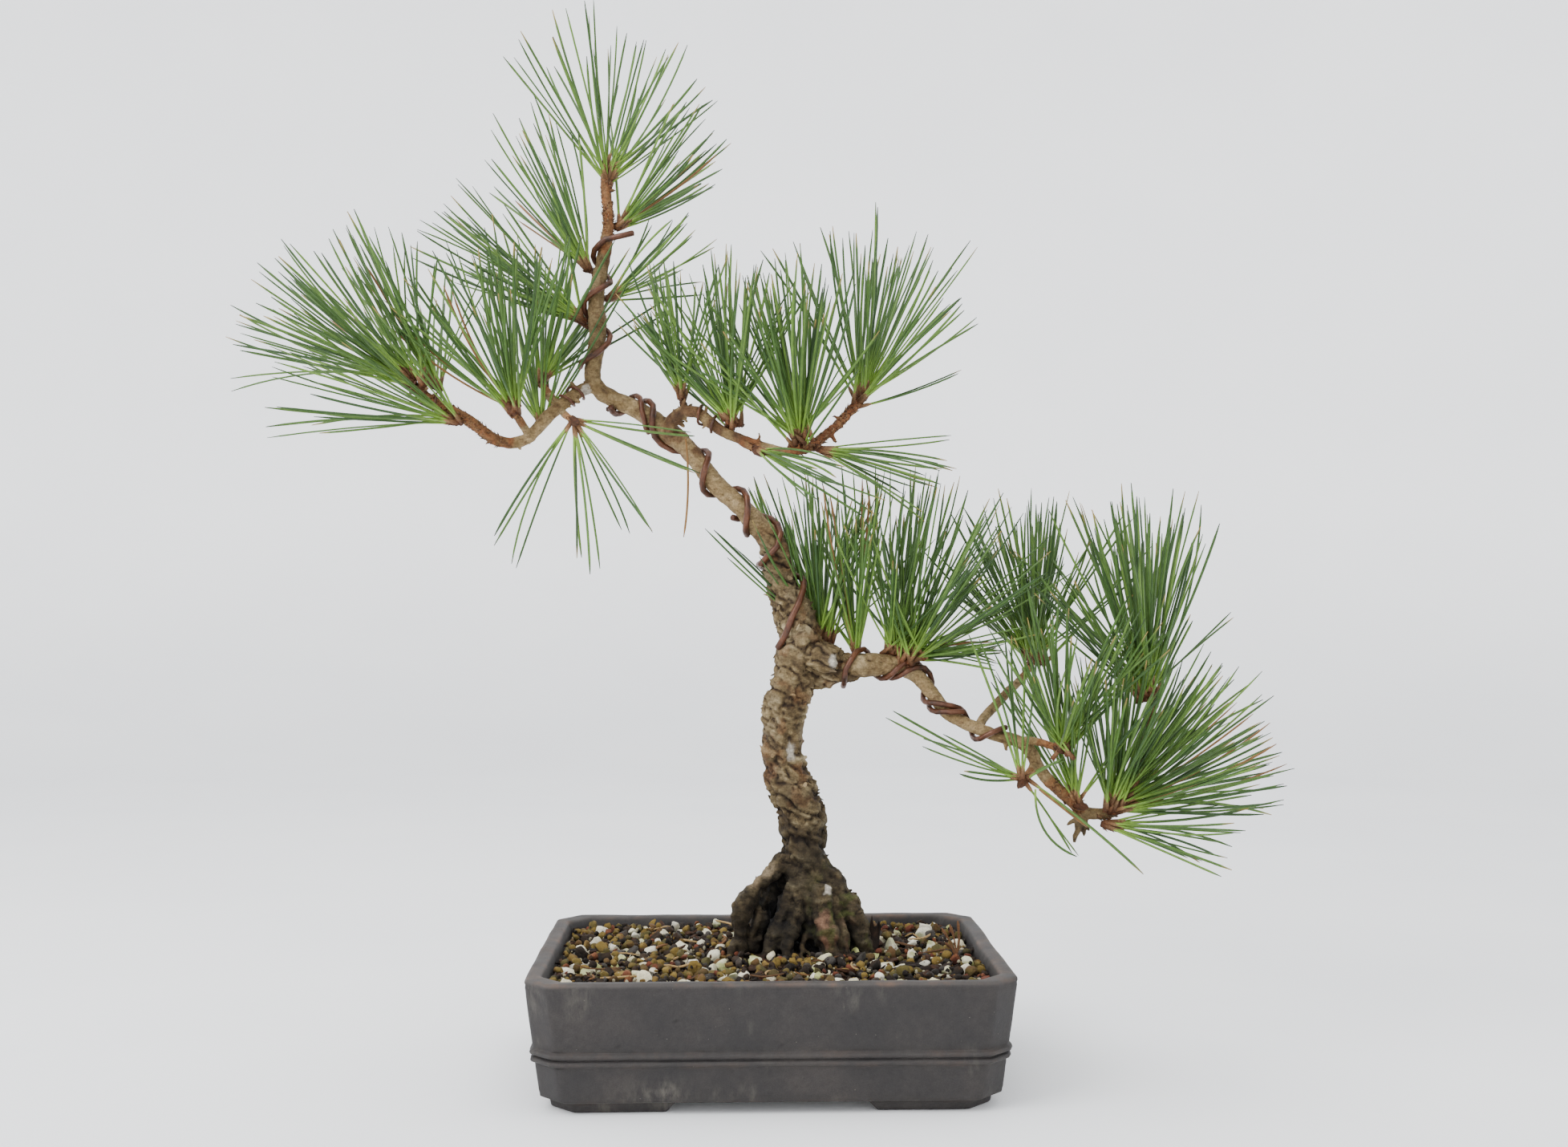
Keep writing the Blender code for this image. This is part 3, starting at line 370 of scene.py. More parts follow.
def clay_look():
    """Unglazed stoneware: dark, matt and finely speckled, browner where the edges wear."""
    look = Look("unglazed_stoneware", 0.72, 0.3)
    wear, pit, scuff = look.split(look.attribute("traits"))[:3]
    cloud = look.noise(30 * MM, 5.0, 0.62)
    mottle = look.noise(3.2 * MM, 5.0, 0.7)
    grain = look.noise(0.5 * MM, 3.0, 0.7)
    tone = look.ramp(cloud, (0.34, srgb(38, 36, 36)), (0.52, srgb(46, 43, 42)), (0.7, srgb(55, 51, 49)))
    tone = look.shaded(tone, mottle, (0.3, 0.84), (0.7, 1.14))
    tone = look.shaded(tone, grain, (0.3, 0.82), (0.7, 1.16))
    dots = look.ramp(look.spots(4.4 * MM), (0.0, 0.9), (0.075, 0.0))
    tone = look.mix(dots, tone, srgb(22, 20, 19))
    flecks = look.ramp(look.spots(6.5 * MM, place=look.stretched((1.1, 0.9, 1.3))), (0.0, 0.7), (0.05, 0.0))
    tone = look.mix(flecks, tone, srgb(128, 120, 110))
    rust = look.ramp(look.noise(17 * MM, 5.0, 0.65), (0.47, 0.0), (0.66, 1.0))
    tone = look.mix(look.math('MULTIPLY', wear, 0.5), tone, srgb(88, 83, 79))
    tone = look.mix(look.math('MULTIPLY', look.math('MULTIPLY', wear, rust), 0.5), tone, srgb(112, 82, 62))
    haze = look.noise(5 * MM, 5.0, 0.7, place=look.stretched((1.4, 1.4, 0.5)))
    hazy = look.math('MULTIPLY', scuff, look.ramp(haze, (0.42, 0.0), (0.64, 1.0)))
    tone = look.mix(look.math('MULTIPLY', hazy, 0.32), tone, srgb(120, 114, 104))
    tone = look.mix(look.math('MULTIPLY', pit, 0.85), tone, srgb(24, 22, 21))
    look.colour(tone)
    look.roughness(look.ramp(cloud, (0.3, 0.6), (0.7, 0.76)))
    look.bump(look.math('ADD', look.math('MULTIPLY', grain, 0.35), mottle), 0.22 * MM, 0.75)
    return look.material


def granule_look():
    look = Look("soil_granules", 0.88, 0.25)
    tint = look.attribute("tint")
    fine = look.noise(0.9 * MM, 5.0, 0.7)
    patch = look.noise(4 * MM, 4.0, 0.6)
    tone = look.shaded(tint, fine, (0.3, 0.74), (0.7, 1.18))
    look.colour(look.shaded(tone, patch, (0.3, 0.84), (0.7, 1.08)))
    look.bump(look.math('ADD', fine, patch), 0.7 * MM, 0.9)
    return look.material


def bed_look():
    look = Look("dark_soil", 0.95, 0.2)
    crumb = look.spots(2.6 * MM)
    look.colour(look.ramp(crumb, (0.1, srgb(70, 54, 36)), (0.6, srgb(30, 22, 16))))
    look.bump(crumb, 1.5 * MM, 1.0)
    return look.material


def plastic_look():
    look = Look("black_mesh_plastic", 0.5, 0.5)
    dust = look.noise(3 * MM, 4.0)
    look.colour(look.ramp(dust, (0.4, (0.012, 0.012, 0.012)), (0.75, (0.05, 0.045, 0.04))))
    look.bump(look.noise(0.8 * MM), 0.1 * MM)
    return look.material


def clip_look():
    look = Look("clip_aluminium", 0.4, 0.5)
    look.shader.inputs["Metallic"].default_value = 1.0
    haze = look.noise(2 * MM, 4.0)
    look.colour(look.ramp(haze, (0.3, (0.36, 0.36, 0.36)), (0.7, (0.62, 0.62, 0.61))))
    look.roughness(look.ramp(haze, (0.3, 0.5), (0.7, 0.32)))
    return look.material


# ---- camera, light and stage -----------------------------------------------------------------
STAGE_RADIUS = 2.7
STAGE_CURVE = 1.1
STAGE_TOP = 1.7
STAGE_FLAT = 0.6                # the middle of the floor is one round face out to here
STAGE_SIDES = 96
CURVE_STEPS = 16


def make_camera():
    data = bpy.data.cameras.new("camera")
    data.sensor_width = SENSOR_WIDTH
    data.lens = CAMERA_LENS
    data.clip_start = 0.01
    camera = in_scene("camera", data)
    camera.location = CAMERA_PLACE
    camera.rotation_euler = (math.pi / 2 + CAMERA_PITCH, 0.0, -CAMERA_YAW)
    bpy.context.scene.camera = camera


def make_light(name, place, aim, size, power):
    data = bpy.data.lights.new(name, 'AREA')
    data.shape = 'RECTANGLE'
    data.size, data.size_y = size
    data.energy = power
    lamp = in_scene(name, data)
    lamp.location = place
    lamp.rotation_euler = (Vector(aim) - Vector(place)).to_track_quat('-Z', 'Y').to_euler()
    lamp.visible_camera = False


def make_stage():
    """A pale round floor that curves up into a wall all round, so that no view shows its back."""
    look = Look("pale_cloth", 0.9, 0.2)
    look.colour(look.ramp(look.noise(0.25, 3.0), (0.3, srgb(240, 241, 243)), (0.7, srgb(245, 246, 247))))
    look.bump(look.noise(1.4 * MM, 2.0), 0.05 * MM, 0.3)
    # painted light: the floor glows faintly and the wall more towards its top, though neither is a lamp
    look.link(look.attribute("glow"), look.shader.inputs["Emission Color"])
    look.shader.inputs["Emission Strength"].default_value = 0.5
    profile = [(STAGE_FLAT, 0.0), (STAGE_RADIUS - STAGE_CURVE, 0.0)]
    for k in range(1, CURVE_STEPS + 1):
        a = k / CURVE_STEPS * math.pi / 2
        profile.append((STAGE_RADIUS - STAGE_CURVE * (1 - math.sin(a)), STAGE_CURVE * (1 - math.cos(a))))
    profile.append((STAGE_RADIUS, STAGE_TOP))
    turns = [k / STAGE_SIDES * 2 * math.pi for k in range(STAGE_SIDES)]
    points = [(r * math.cos(t), r * math.sin(t), z) for r, z in profile for t in turns]
    faces = [tuple(range(STAGE_SIDES))]
    for row in range(len(profile) - 1):
        for k in range(STAGE_SIDES):
            a, b = row * STAGE_SIDES + k, row * STAGE_SIDES + (k + 1) % STAGE_SIDES
            faces.append((a, a + STAGE_SIDES, b + STAGE_SIDES, b))
    mesh = mesh_of("floor", np.array(points), faces)
    mesh.polygons.foreach_set("use_smooth", [True] * len(mesh.polygons))
    mesh.materials.append(look.material)
    glow = mesh.color_attributes.new("glow", 'FLOAT_COLOR', 'POINT')
    for k, (_, _, z) in enumerate(points):
        glow.data[k].color = (*[float(smoothstep(-0.1, 0.45, np.array(z)))] * 3, 1.0)
    floor = in_scene("floor", mesh)


def make_world():
    world = bpy.data.worlds.new("studio")
    world.use_nodes = True
    back = world.node_tree.nodes["Background"]
    back.inputs["Color"].default_value = (0.96, 0.975, 1.0, 1.0)
    back.inputs["Strength"].default_value = 1.25
    bpy.context.scene.world = world


make_camera()
make_world()
make_stage()
make_light("key", (-0.95, -0.75, 1.15), (0, 0, 0.2), (0.8, 0.7), 18)
make_light("overhead", (0.0, 0.0, 1.8), (0, 0.05, 0.0), (1.8, 1.4), 24)


# ---- pot -------------------------------------------------------------------------------------
POT_FOOT = 5 * MM
POT_FLOOR = 12 * MM
POT_CORNER = 12 * MM            # how much of each side its cut corner takes
POT_TAPER = 7 * MM              # how much further in the wall is at the foot than at the rim
CORNER_SOFT = 2.2 * MM
GAP_FRONT, GAP_SIDE, GAP_SLANT = 45 * MM, 31 * MM, 5.6 * MM
DRAIN_HOLE_R = 9 * MM
FOOT_ROWS = ((30, 5), (23, 5), (22.3, 4.6), (22, 3.5), (21.6, 0.8), (21, 0.2), (20, 0), (16.5, 0), (13.2, 0),
             (12.1, 0.3), (11.6, 1.0), (11.2, 3.0), (11.0, 4.8))
RIM_ROWS = ((0.35, 60.6), (0.0, 61.4), (0.15, 62.2), (0.6, 62.75), (1.3, 63.0), (2.4, 63.05), (3.6, 63.05),
            (4.8, 63.0), (5.9, 62.95), (6.8, 62.7), (7.4, 62.2), (7.75, 61.4), (8.1, 60.4))
FLOOR_ROWS = ((17.0, 12.6), (18.2, 12.05), (30, 12))


def pot_rows(height):
    """How far in and how high each ring of the loft is, from underneath, up the wall and down inside."""
    def taper(z):
        return (height - 2 * MM - z * MM) / (height - POT_FOOT) * POT_TAPER

    rows = [(inset * MM, z) for inset, z in FOOT_ROWS]
    rows += [(taper(z) + max(0, 6.2 - z) * 2.6 * MM + 0.2 * MM, z) for z in (5.2, 5.8, 6.6, 8)]
    rows += [(taper(z), z) for z in np.arange(9.5, 22.6, 1.5)]
    for k in range(27):             # the double rib
        z = 22.6 + k * 0.32
        bulge = max(math.sqrt(max(0.0, 1 - ((z - centre) / 1.62) ** 2)) for centre in (24.9, 28.5))
        rows.append((taper(z) - 1.75 * bulge * MM, z))
    rows += [(taper(z), z) for z in np.arange(32.0, 59.6, 1.5)]
    rows += [(inset * MM, z) for inset, z in RIM_ROWS]
    for z in np.arange(58.8, 13.5, -2.0):
        rows.append((16.5 * MM - 8.5 * MM * (z * MM - POT_FLOOR) / (height - POT_FLOOR), z))
    rows += [(inset * MM, z) for inset, z in FLOOR_ROWS]
    return [(inset, z * MM) for inset, z in rows]


def make_pot():
    """A dense loft of the pot: cut corners, double rib, flat rim, hollow and four feet, hand-finished."""
    _, (half_x, half_y, height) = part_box("pot")
    rows = pot_rows(height)
    outward = np.array([(1, 0), (1, 1), (0, 1), (-1, 1), (-1, 0), (-1, -1), (0, -1), (1, -1)], float)
    outward /= lengths(outward)[:, None]

    def corners(inset):
        """The eight corners of the plan, drawn in by `inset`."""
        hx, hy = half_x - inset, half_y - inset
        x, y = hx - POT_CORNER, hy - POT_CORNER
        return np.array([(hx, -y), (hx, y), (x, hy), (-x, hy), (-hx, y), (-hx, -y), (-x, -hy), (x, -hy)])

    # The plan: straight sides with eased cut corners, sampled evenly.
    plan = []
    for k, length in enumerate(lengths(np.roll(corners(0), -1, 0) - corners(0))):
        count = 96 if length > 0.18 else (72 if length > 0.1 else 10)
        plan += [(k, j / count) for j in range(count)]
    sides = np.array([p[0] for p in plan])
    shares = np.array([p[1] for p in plan])

    def ring(inset):
        """The plan drawn in by `inset`, its corners eased."""
        c = corners(inset)
        a, b = c[sides], c[(sides + 1) % 8]
        flat = a + (b - a) * shares[:, None]
        for near, step in ((a, -1), (b, 1)):
            ease = np.clip(1 - lengths(flat - near) / CORNER_SOFT, 0, 1) ** 2 * CORNER_SOFT * 0.16
            flat = flat - (outward[sides] + outward[(sides + step) % 8]) * 0.5 * ease[:, None]
        return flat

    points = []
    long_side = (sides == 2) | (sides == 6)
    for inset, z in rows:
        flat = ring(inset)
        heights = np.full(len(flat), z)
        if z < POT_FOOT:            # the gaps between the feet
            across = np.where(long_side, np.abs(flat[:, 0]), np.abs(flat[:, 1]))
            start = np.where(long_side, GAP_FRONT, GAP_SIDE)
            open_share = 1 - smoothstep(0, 1, (across - start) / GAP_SLANT)
            heights = z + (POT_FOOT - z) * np.where(sides % 2 == 0, open_share, 0.0)
        points.append(np.column_stack([flat, heights]))
    moved = np.vstack(points)
    count = len(plan)

    # Handmade irregularity: slow waves in the walls and rim, dents in the ribs, pits.
    place = moved / MM
    inset_now = np.repeat([r[0] for r in rows], count)
    z_now = place[:, 2]
    out_dir = np.tile(outward[sides], (len(rows), 1))
    wave = fractal(place / 46, 3, 11) * 0.75 + fractal(place / 11, 3, 12) * 0.16
    ribs = smoothstep(22.2, 23.2, z_now) * (1 - smoothstep(30.4, 31.2, z_now)) * (inset_now < 0.008)
    wave = wave + ribs * (fractal(place * np.array((1, 1, 2.0)) / 6.5, 3, 15) * 0.38)
    near_corner = np.tile(np.minimum(shares, 1 - shares), len(rows))
    pinch = np.where(np.tile(sides % 2 == 0, len(rows)), np.exp(-(near_corner / 0.012) ** 2), 0)
    wave = wave - ribs * pinch * 0.8
    away, _, lucky = cells(place / 6.5, 21)
    pits = (1 - smoothstep(0.05, 0.1, away)) * (lucky > 0.78)
    hold = 1 - smoothstep(0.2, 0.0, z_now)
    shift = np.clip(wave, -1.1, 0.9) - pits * 0.3
    rim = smoothstep(60.5, 62.9, z_now)
    moved[:, :2] += out_dir * (shift * hold * MM)[:, None]
    moved[:, 2] += rim * (fractal(place * np.array((1, 1, 0)) / 34, 3, 31) * 0.45
                          + fractal(place / 5, 2, 32) * 0.1) * MM
    moved[:, 2] = np.minimum(moved[:, 2], height + 0.8 * MM)

    index = np.arange(len(moved)).reshape(len(rows), count)
    a, b = index[:-1], index[1:]
    quads = np.stack([a, np.roll(a, -1, 1), np.roll(b, -1, 1), b], -1).reshape(-1, 4)
    faces = quads.tolist() + [index[0][::-1].tolist(), index[-1].tolist()]

    rim_edge = np.minimum(inset_now, np.abs(inset_now - 7.2 * MM)) / (1.3 * MM)
    edge = np.exp(-((z_now - 62.8) / 1.3) ** 2) * np.exp(-rim_edge ** 2)
    crest = ribs * smoothstep(0.6, 1.5, np.abs(z_now - 26.7)) * 0.3
    low_edge = np.exp(-((z_now - 5.5) / 1.2) ** 2) * 0.3
    wear = edge * 0.6 + crest * 0.8 + rim * 0.45 + low_edge
    wear = wear * (0.75 + 0.5 * fractal(place / 9, 3, 41))
    corner_rust = np.exp(-((place[:, 0] + 108) / 26) ** 2) * np.exp(-((place[:, 1] + 84) / 12) ** 2) * rim
    wear = wear + corner_rust * 0.5
    scuff = smoothstep(0.2, 0.5, fractal(place / np.array((16, 16, 30)), 3, 51)) * (1 - rim)
    foot_scuff = np.exp(-((place[:, 0] + 55) / 16) ** 2) * np.exp(-((z_now - 9) / 7) ** 2)
    traits = np.column_stack([np.clip(wear, 0, 1), pits, np.clip(scuff * 0.5 + foot_scuff * 0.7, 0, 1)])
    mesh = mesh_of("pot_body", moved, faces)
    bm = bmesh.new()
    bm.from_mesh(mesh)
    bmesh.ops.recalc_face_normals(bm, faces=bm.faces[:])
    bm.to_mesh(mesh)
    bm.free()
    pot = finish_piece("pot_body", mesh, clay_look(), extra=traits)
    for side in ("left", "right"):
        drill = in_scene("drill", made_with("drill", bmesh.ops.create_cone, cap_ends=True, segments=40,
                                            radius1=DRAIN_HOLE_R, radius2=DRAIN_HOLE_R, depth=30 * MM))
        mesh_low, mesh_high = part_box("drainage_mesh_" + side)
        drill.location = ((mesh_low.x + mesh_high.x) / 2, 0, 8 * MM)
        mod = pot.modifiers.new("hole", 'BOOLEAN')
        mod.operation = 'DIFFERENCE'
        mod.solver = 'EXACT'
        mod.object = drill
        apply_modifiers(pot)
        bpy.data.objects.remove(drill, do_unlink=True)
    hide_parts("pot")


def apply_modifiers(obj):
    """The object's modifiers made part of its mesh."""
    graph = bpy.context.evaluated_depsgraph_get()
    mesh = bpy.data.meshes.new_from_object(obj.evaluated_get(graph), preserve_all_data_layers=True,
                                           depsgraph=graph)
    obj.modifiers.clear()
    old = obj.data
    obj.data = mesh
    bpy.data.meshes.remove(old)


make_pot()


# ---- where the tufts and their shoots are -------------------------------------------------------
TERMINAL = {                    # tufts at the end of a shoot: the wood and how far it is scaly, in mm
    "apex": ("trunk", 42), "right_end": ("upper_right_branch", 60), "left_end": ("left_branch", 62),
    "end_shoot_top": ("lower_branch_end_shoot", 50), "back_shoot": ("lower_branch_back_shoot", 18),
    "side_twig": ("lower_branch_side_twig", 12), "low_spur": ("lower_branch_low_spur", 9),
    "left_hanging": ("left_branch_front_twig", 9), "right_hanging": ("upper_right_hanging_spur", 9),
    "left_fork": ("left_branch_fork", 10), "left_mid": ("left_branch_mid_spur", 9),
    "branch_end": ("lower_right_branch", 20)}


def read_tuft(node):
    """The bud's centre and each bundle's (middle, tip) from a needle node's mesh."""
    points = np.unique(np.round(vertices_of(NODES[node].data), 6), axis=0)
    gaps = np.linalg.norm(points[:, None] - points[None], axis=2)
    centre = points[gaps[np.argmax((gaps < 7 * MM).sum(1))] < 7 * MM].mean(0)
    for _ in range(4):
        centre = points[lengths(points - centre) < 4.5 * MM].mean(0)
    far = points[lengths(points - centre) > 8 * MM]
    groups, left = [], list(range(len(far)))
    while left:
        near = [k for k in left if np.linalg.norm(far[k] - far[left[0]]) < 1.6 * MM]
        groups.append(far[near].mean(0))
        left = [k for k in left if k not in near]
    groups = np.array(groups)
    reach = lengths(groups - centre)
    spikes = []
    for k in np.argsort(-reach):
        run = groups[k] - centre
        for droop in (-0.05, 0.05):
            middle = centre + run * 0.5 + np.array((0, 0, droop * reach[k]))
            if lengths(groups - middle).min() < 1.5 * MM:
                spikes.append((middle, groups[k]))
                break
    return centre, spikes


def stem_behind(node, centre, reach):
    """The line of a shoot behind its bud, from the bud back along the wood: points and radii."""
    wood_points = vertices_of(NODES[node].data)
    away = lengths(wood_points - centre)
    line, radii = [centre], [2.2 * MM]
    for d in np.arange(4.5, reach, 3.0):
        band = wood_points[np.abs(away - d * MM) < 3.2 * MM]
        if len(band) < 6:
            continue
        middle = band.mean(0)
        line.append(middle)
        radii.append(lengths(band - middle).mean())
    return np.array(line), np.array(radii)


MOVED = {                       # tuft: (shift of its bud, shift of its needle tips), in mm
    "end_shoot_fan": ((-18, 0, -18), (-16, 0, 6)),
    "end_shoot_top": ((0, 0, 2), (-30, 0, 4)), "end_shoot_low": ((-14, 0, -6), (-22, 0, 4)),
    "lower_third": ((-13, 0, 9), (-10, 0, 6)), "lower_second": ((-3, 0, 1), (0, 0, 0)),
    "right_end": ((0, 0, 0), (-8, 0, 2)), "left_outer": ((-6, 0, 6), (-6, 0, 4))}


def moved_tuft(name, centre, spikes):
    """The tuft with its bud and tips shifted to where the photo shows them."""
    bud, tips = (np.array(s) * MM for s in MOVED.get(name, ((0, 0, 0), (0, 0, 0))))
    return centre + bud, [(m + (bud + tips) / 2, e + tips) for m, e in spikes]


AS_LISTED = {n.replace("needles_", ""): read_tuft(n) for n in sorted(NODES) if n.startswith("needles_")}
TUFT_SHAPES = {name: moved_tuft(name, *shape) for name, shape in AS_LISTED.items()}
STEMS = {name: stem_behind(host, AS_LISTED[name][0], reach) for name, (host, reach) in TERMINAL.items()}
SHOOT_LINES = [line for line, radii in STEMS.values()]


# ---- wood ------------------------------------------------------------------------------------
WOOD_ENDINGS = ("trunk", "branch", "fork", "twig", "spur", "shoot")
WOOD = sorted(n for n in NODES if n.endswith(WOOD_ENDINGS) and not n.startswith("needles_"))
WOOD_VOXEL = 0.72 * MM
BARK_FLAKES = 420
WORN_ROOTS = (                  # where roots are rubbed lighter: place and size in mm, colour
    ((-1, 2, 102), 6.5, (132, 116, 92)), ((-9, 3, 98), 6.5, (128, 110, 84)),
    ((-17, 3, 91), 6.0, (84, 76, 62)), ((30, -9, 77), 7.0, (112, 84, 66)),
    ((31, -12, 68), 6.0, (104, 74, 56)), ((42, -3, 76), 5.0, (98, 80, 62)),
    ((43, -9, 66), 4.5, (84, 62, 46)))
PALE_SCARS = (((12, 1, 163), 5.0), ((34, -5, 210), 4.2), ((-96, 8, 352), 3.6), ((31, -2, 92), 2.6))
SOIL_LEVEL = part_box("soil_bed")[1].z


def remeshed(name, bm, voxel, smooth_steps=2):
    """One closed mesh over overlapping closed shapes, remeshed to even quads."""
    mesh = bpy.data.meshes.new(name)
    bm.to_mesh(mesh)
    bm.free()
    obj = in_scene(name, mesh)
    mod = obj.modifiers.new("remesh", 'REMESH')
    mod.mode = 'VOXEL'
    mod.voxel_size = voxel
    soft = obj.modifiers.new("soft", 'SMOOTH')
    soft.factor = 0.5
    soft.iterations = smooth_steps
    apply_modifiers(obj)
    mesh = obj.data
    bpy.data.objects.remove(obj, do_unlink=True)
    return mesh


def edges_of(mesh):
    edges = np.empty(len(mesh.edges) * 2, dtype=np.int64)
    mesh.edges.foreach_get("vertices", edges)
    return edges.reshape(-1, 2)


def spread_out(values, edges, rounds):
    """Values averaged with their neighbours, several times over."""
    weight = np.ones(len(values))
    np.add.at(weight, edges[:, 0], 1)
    np.add.at(weight, edges[:, 1], 1)
    for _ in range(rounds):
        total = values.copy()
        np.add.at(total, edges[:, 0], values[edges[:, 1]])
        np.add.at(total, edges[:, 1], values[edges[:, 0]])
        values = total / weight
    return values


def thickness(points, normals, mesh):
    """How thick the wood is under each point, averaged with the points around."""
    tree = tree_over(mesh)
    out = np.full(len(points), 3 * MM)
    for k in range(len(points)):
        depth = tree.ray_cast(Vector(points[k] - normals[k] * 0.2 * MM), Vector(-normals[k]), 60 * MM)[3]
        if depth is not None:
            out[k] = depth
    return spread_out(out, edges_of(mesh), 30)


def rootlet_shapes(rng):
    """Gnarled thin roots that run down the flare of the trunk and out into the soil."""
    foot = np.array((22, 11)) * MM
    count, steps = 20, 15
    paths, radii = [], []
    for k in range(count):
        turn = k / count * 2 * math.pi + rng.uniform(-0.2, 0.2)
        out = np.array((math.cos(turn), math.sin(turn)))
        top = SOIL_LEVEL + rng.uniform(14, 34) * MM
        reach = rng.uniform(20, 33) * MM
        path = []
        for s in np.linspace(0, 1, steps):
            away = 9.5 * MM + (reach - 9.5 * MM) * s ** 1.6
            sway = np.array((-out[1], out[0])) * math.sin(s * rng.uniform(3, 7) + k) * 2.6 * MM
            z = top + (SOIL_LEVEL - 7 * MM - top) * s
            path.append((*(foot + out * away + sway), z))
        thick = rng.uniform(1.0, 3.0) * MM
        paths.append(path)
        radii.append(thick * (1.25 - 0.55 * np.linspace(0, 1, steps)) * rng.uniform(0.8, 1.2, steps))
    s = np.linspace(0, 1, steps)[:, None]
    for start, end, thick in (((6, 15, 98), (-4, 13, 50), 4.6), ((3, 19, 90), (-13, 18, 50), 4.4),
                              ((34, 8, 94), (44, 5, 50), 4.6), ((14, 2, 88), (11, -12, 50), 4.0),
                              ((28, 0, 86), (32, -13, 50), 4.4), ((33, 3, 88), (45, -9, 50), 2.6)):
        sway = np.sin(s * rng.uniform(4, 8)) * rng.normal(size=3) * 1.6
        paths.append((np.array(start) + (np.array(end) - np.array(start)) * s + sway) * MM)
        radii.append(thick * MM * rng.uniform(0.82, 1.12, steps))
    left = np.array((-12, 3)) * MM                      # the tangle under the aerial root
    for k in range(7):
        top = left + rng.uniform(-3, 14) * MM * np.array((1, 0.4))
        start = np.array((*top, SOIL_LEVEL + rng.uniform(10, 28) * MM))
        end = np.array((*(left + rng.uniform(-8, 22) * MM * np.array((1, 0.5))), SOIL_LEVEL - 6 * MM))
        sway = np.sin(s * rng.uniform(3, 8) + k) * rng.normal(size=3) * 2.2 * MM
        paths.append(start + (end - start) * s + sway)
        radii.append(rng.uniform(0.9, 2.6) * MM * rng.uniform(0.75, 1.25, steps))
    return tubes(paths, radii, 8, rng)


def stub_shapes(rng):
    """Broken dry ends at the tip of the low branch, and short snags along the branches."""
    low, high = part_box("lower_right_branch")
    s = np.linspace(0, 1, 6)[:, None]
    paths, radii = [], []
    for dx, dz, r in ((-3, -15, 1.9), (2, -13, 1.5), (5, -9, 1.6), (-8, -6, 1.4), (7, -3, 1.5)):
        start = np.array((high.x - 5 * MM, (low.y + high.y) / 2 - 2 * MM + dx * 0.3 * MM, low.z + 4 * MM))
        end = start + np.array((dx, -1.5, dz)) * MM
        paths.append(start + (end - start) * s + rng.normal(size=(6, 3)) * 0.3 * MM)
        radii.append(r * MM * np.array((1.2, 1.1, 1.0, 0.95, 0.8, 0.45)))
    for node, count in (("lower_right_branch", 11), ("left_branch", 14), ("upper_right_branch", 26)):
        verts = vertices_of(NODES[node].data)
        for _ in range(count):
            start = verts[rng.integers(len(verts))]
            near = verts[lengths(verts - start) < 7 * MM]
            out = unit(start - near.mean(0) + rng.normal(size=3) * 0.3 * MM)
            reach = rng.uniform(1.8, 4.5) * MM
            line = start - out * 1.5 * MM + out * (reach + 1.5 * MM) * s
            paths.append(line + rng.normal(size=(6, 3)) * 0.2 * MM)
            radii.append(rng.uniform(0.8, 1.5) * MM * np.array((1.3, 1.1, 1.0, 0.95, 0.85, 0.5)))
    return tubes(paths, radii, 7, rng)


def openness(points, normals, mesh, picks, reach=15 * MM):
    """How much of the space around each picked point is open: 0 in a deep hollow, 1 on a ridge."""
    tree = tree_over(mesh)
    rays = [unit(np.array((math.cos(k * 2.4), math.sin(k * 2.4), 0)) * math.sqrt(1 - h * h)
                 + np.array((0, 0, h))) for k, h in enumerate(np.linspace(0.95, -0.6, 11))]
    out = np.ones(len(points))
    for k in picks:
        n = normals[k]
        start = Vector(points[k] + n * 0.6 * MM)
        seen = total = 0.0
        for ray in rays:
            facing = ray @ n
            if facing < 0.05:
                continue
            total += facing
            if tree.ray_cast(start, Vector(ray), reach)[3] is None:
                seen += facing
        out[k] = seen / total if total > 0 else 0.0
    return out


def blend_colour(share, a, b):
    """From colour a to colour b by each point's share."""
    return a * (1 - share)[:, None] + b * share[:, None]


def palette(value, *colours):
    """Colours spread evenly over 0 to 1, read at each value."""
    stops = np.linspace(0, 1, len(colours))
    table = np.array(colours)
    return np.column_stack([np.interp(np.clip(value, 0, 1), stops, table[:, c]) for c in range(3)])


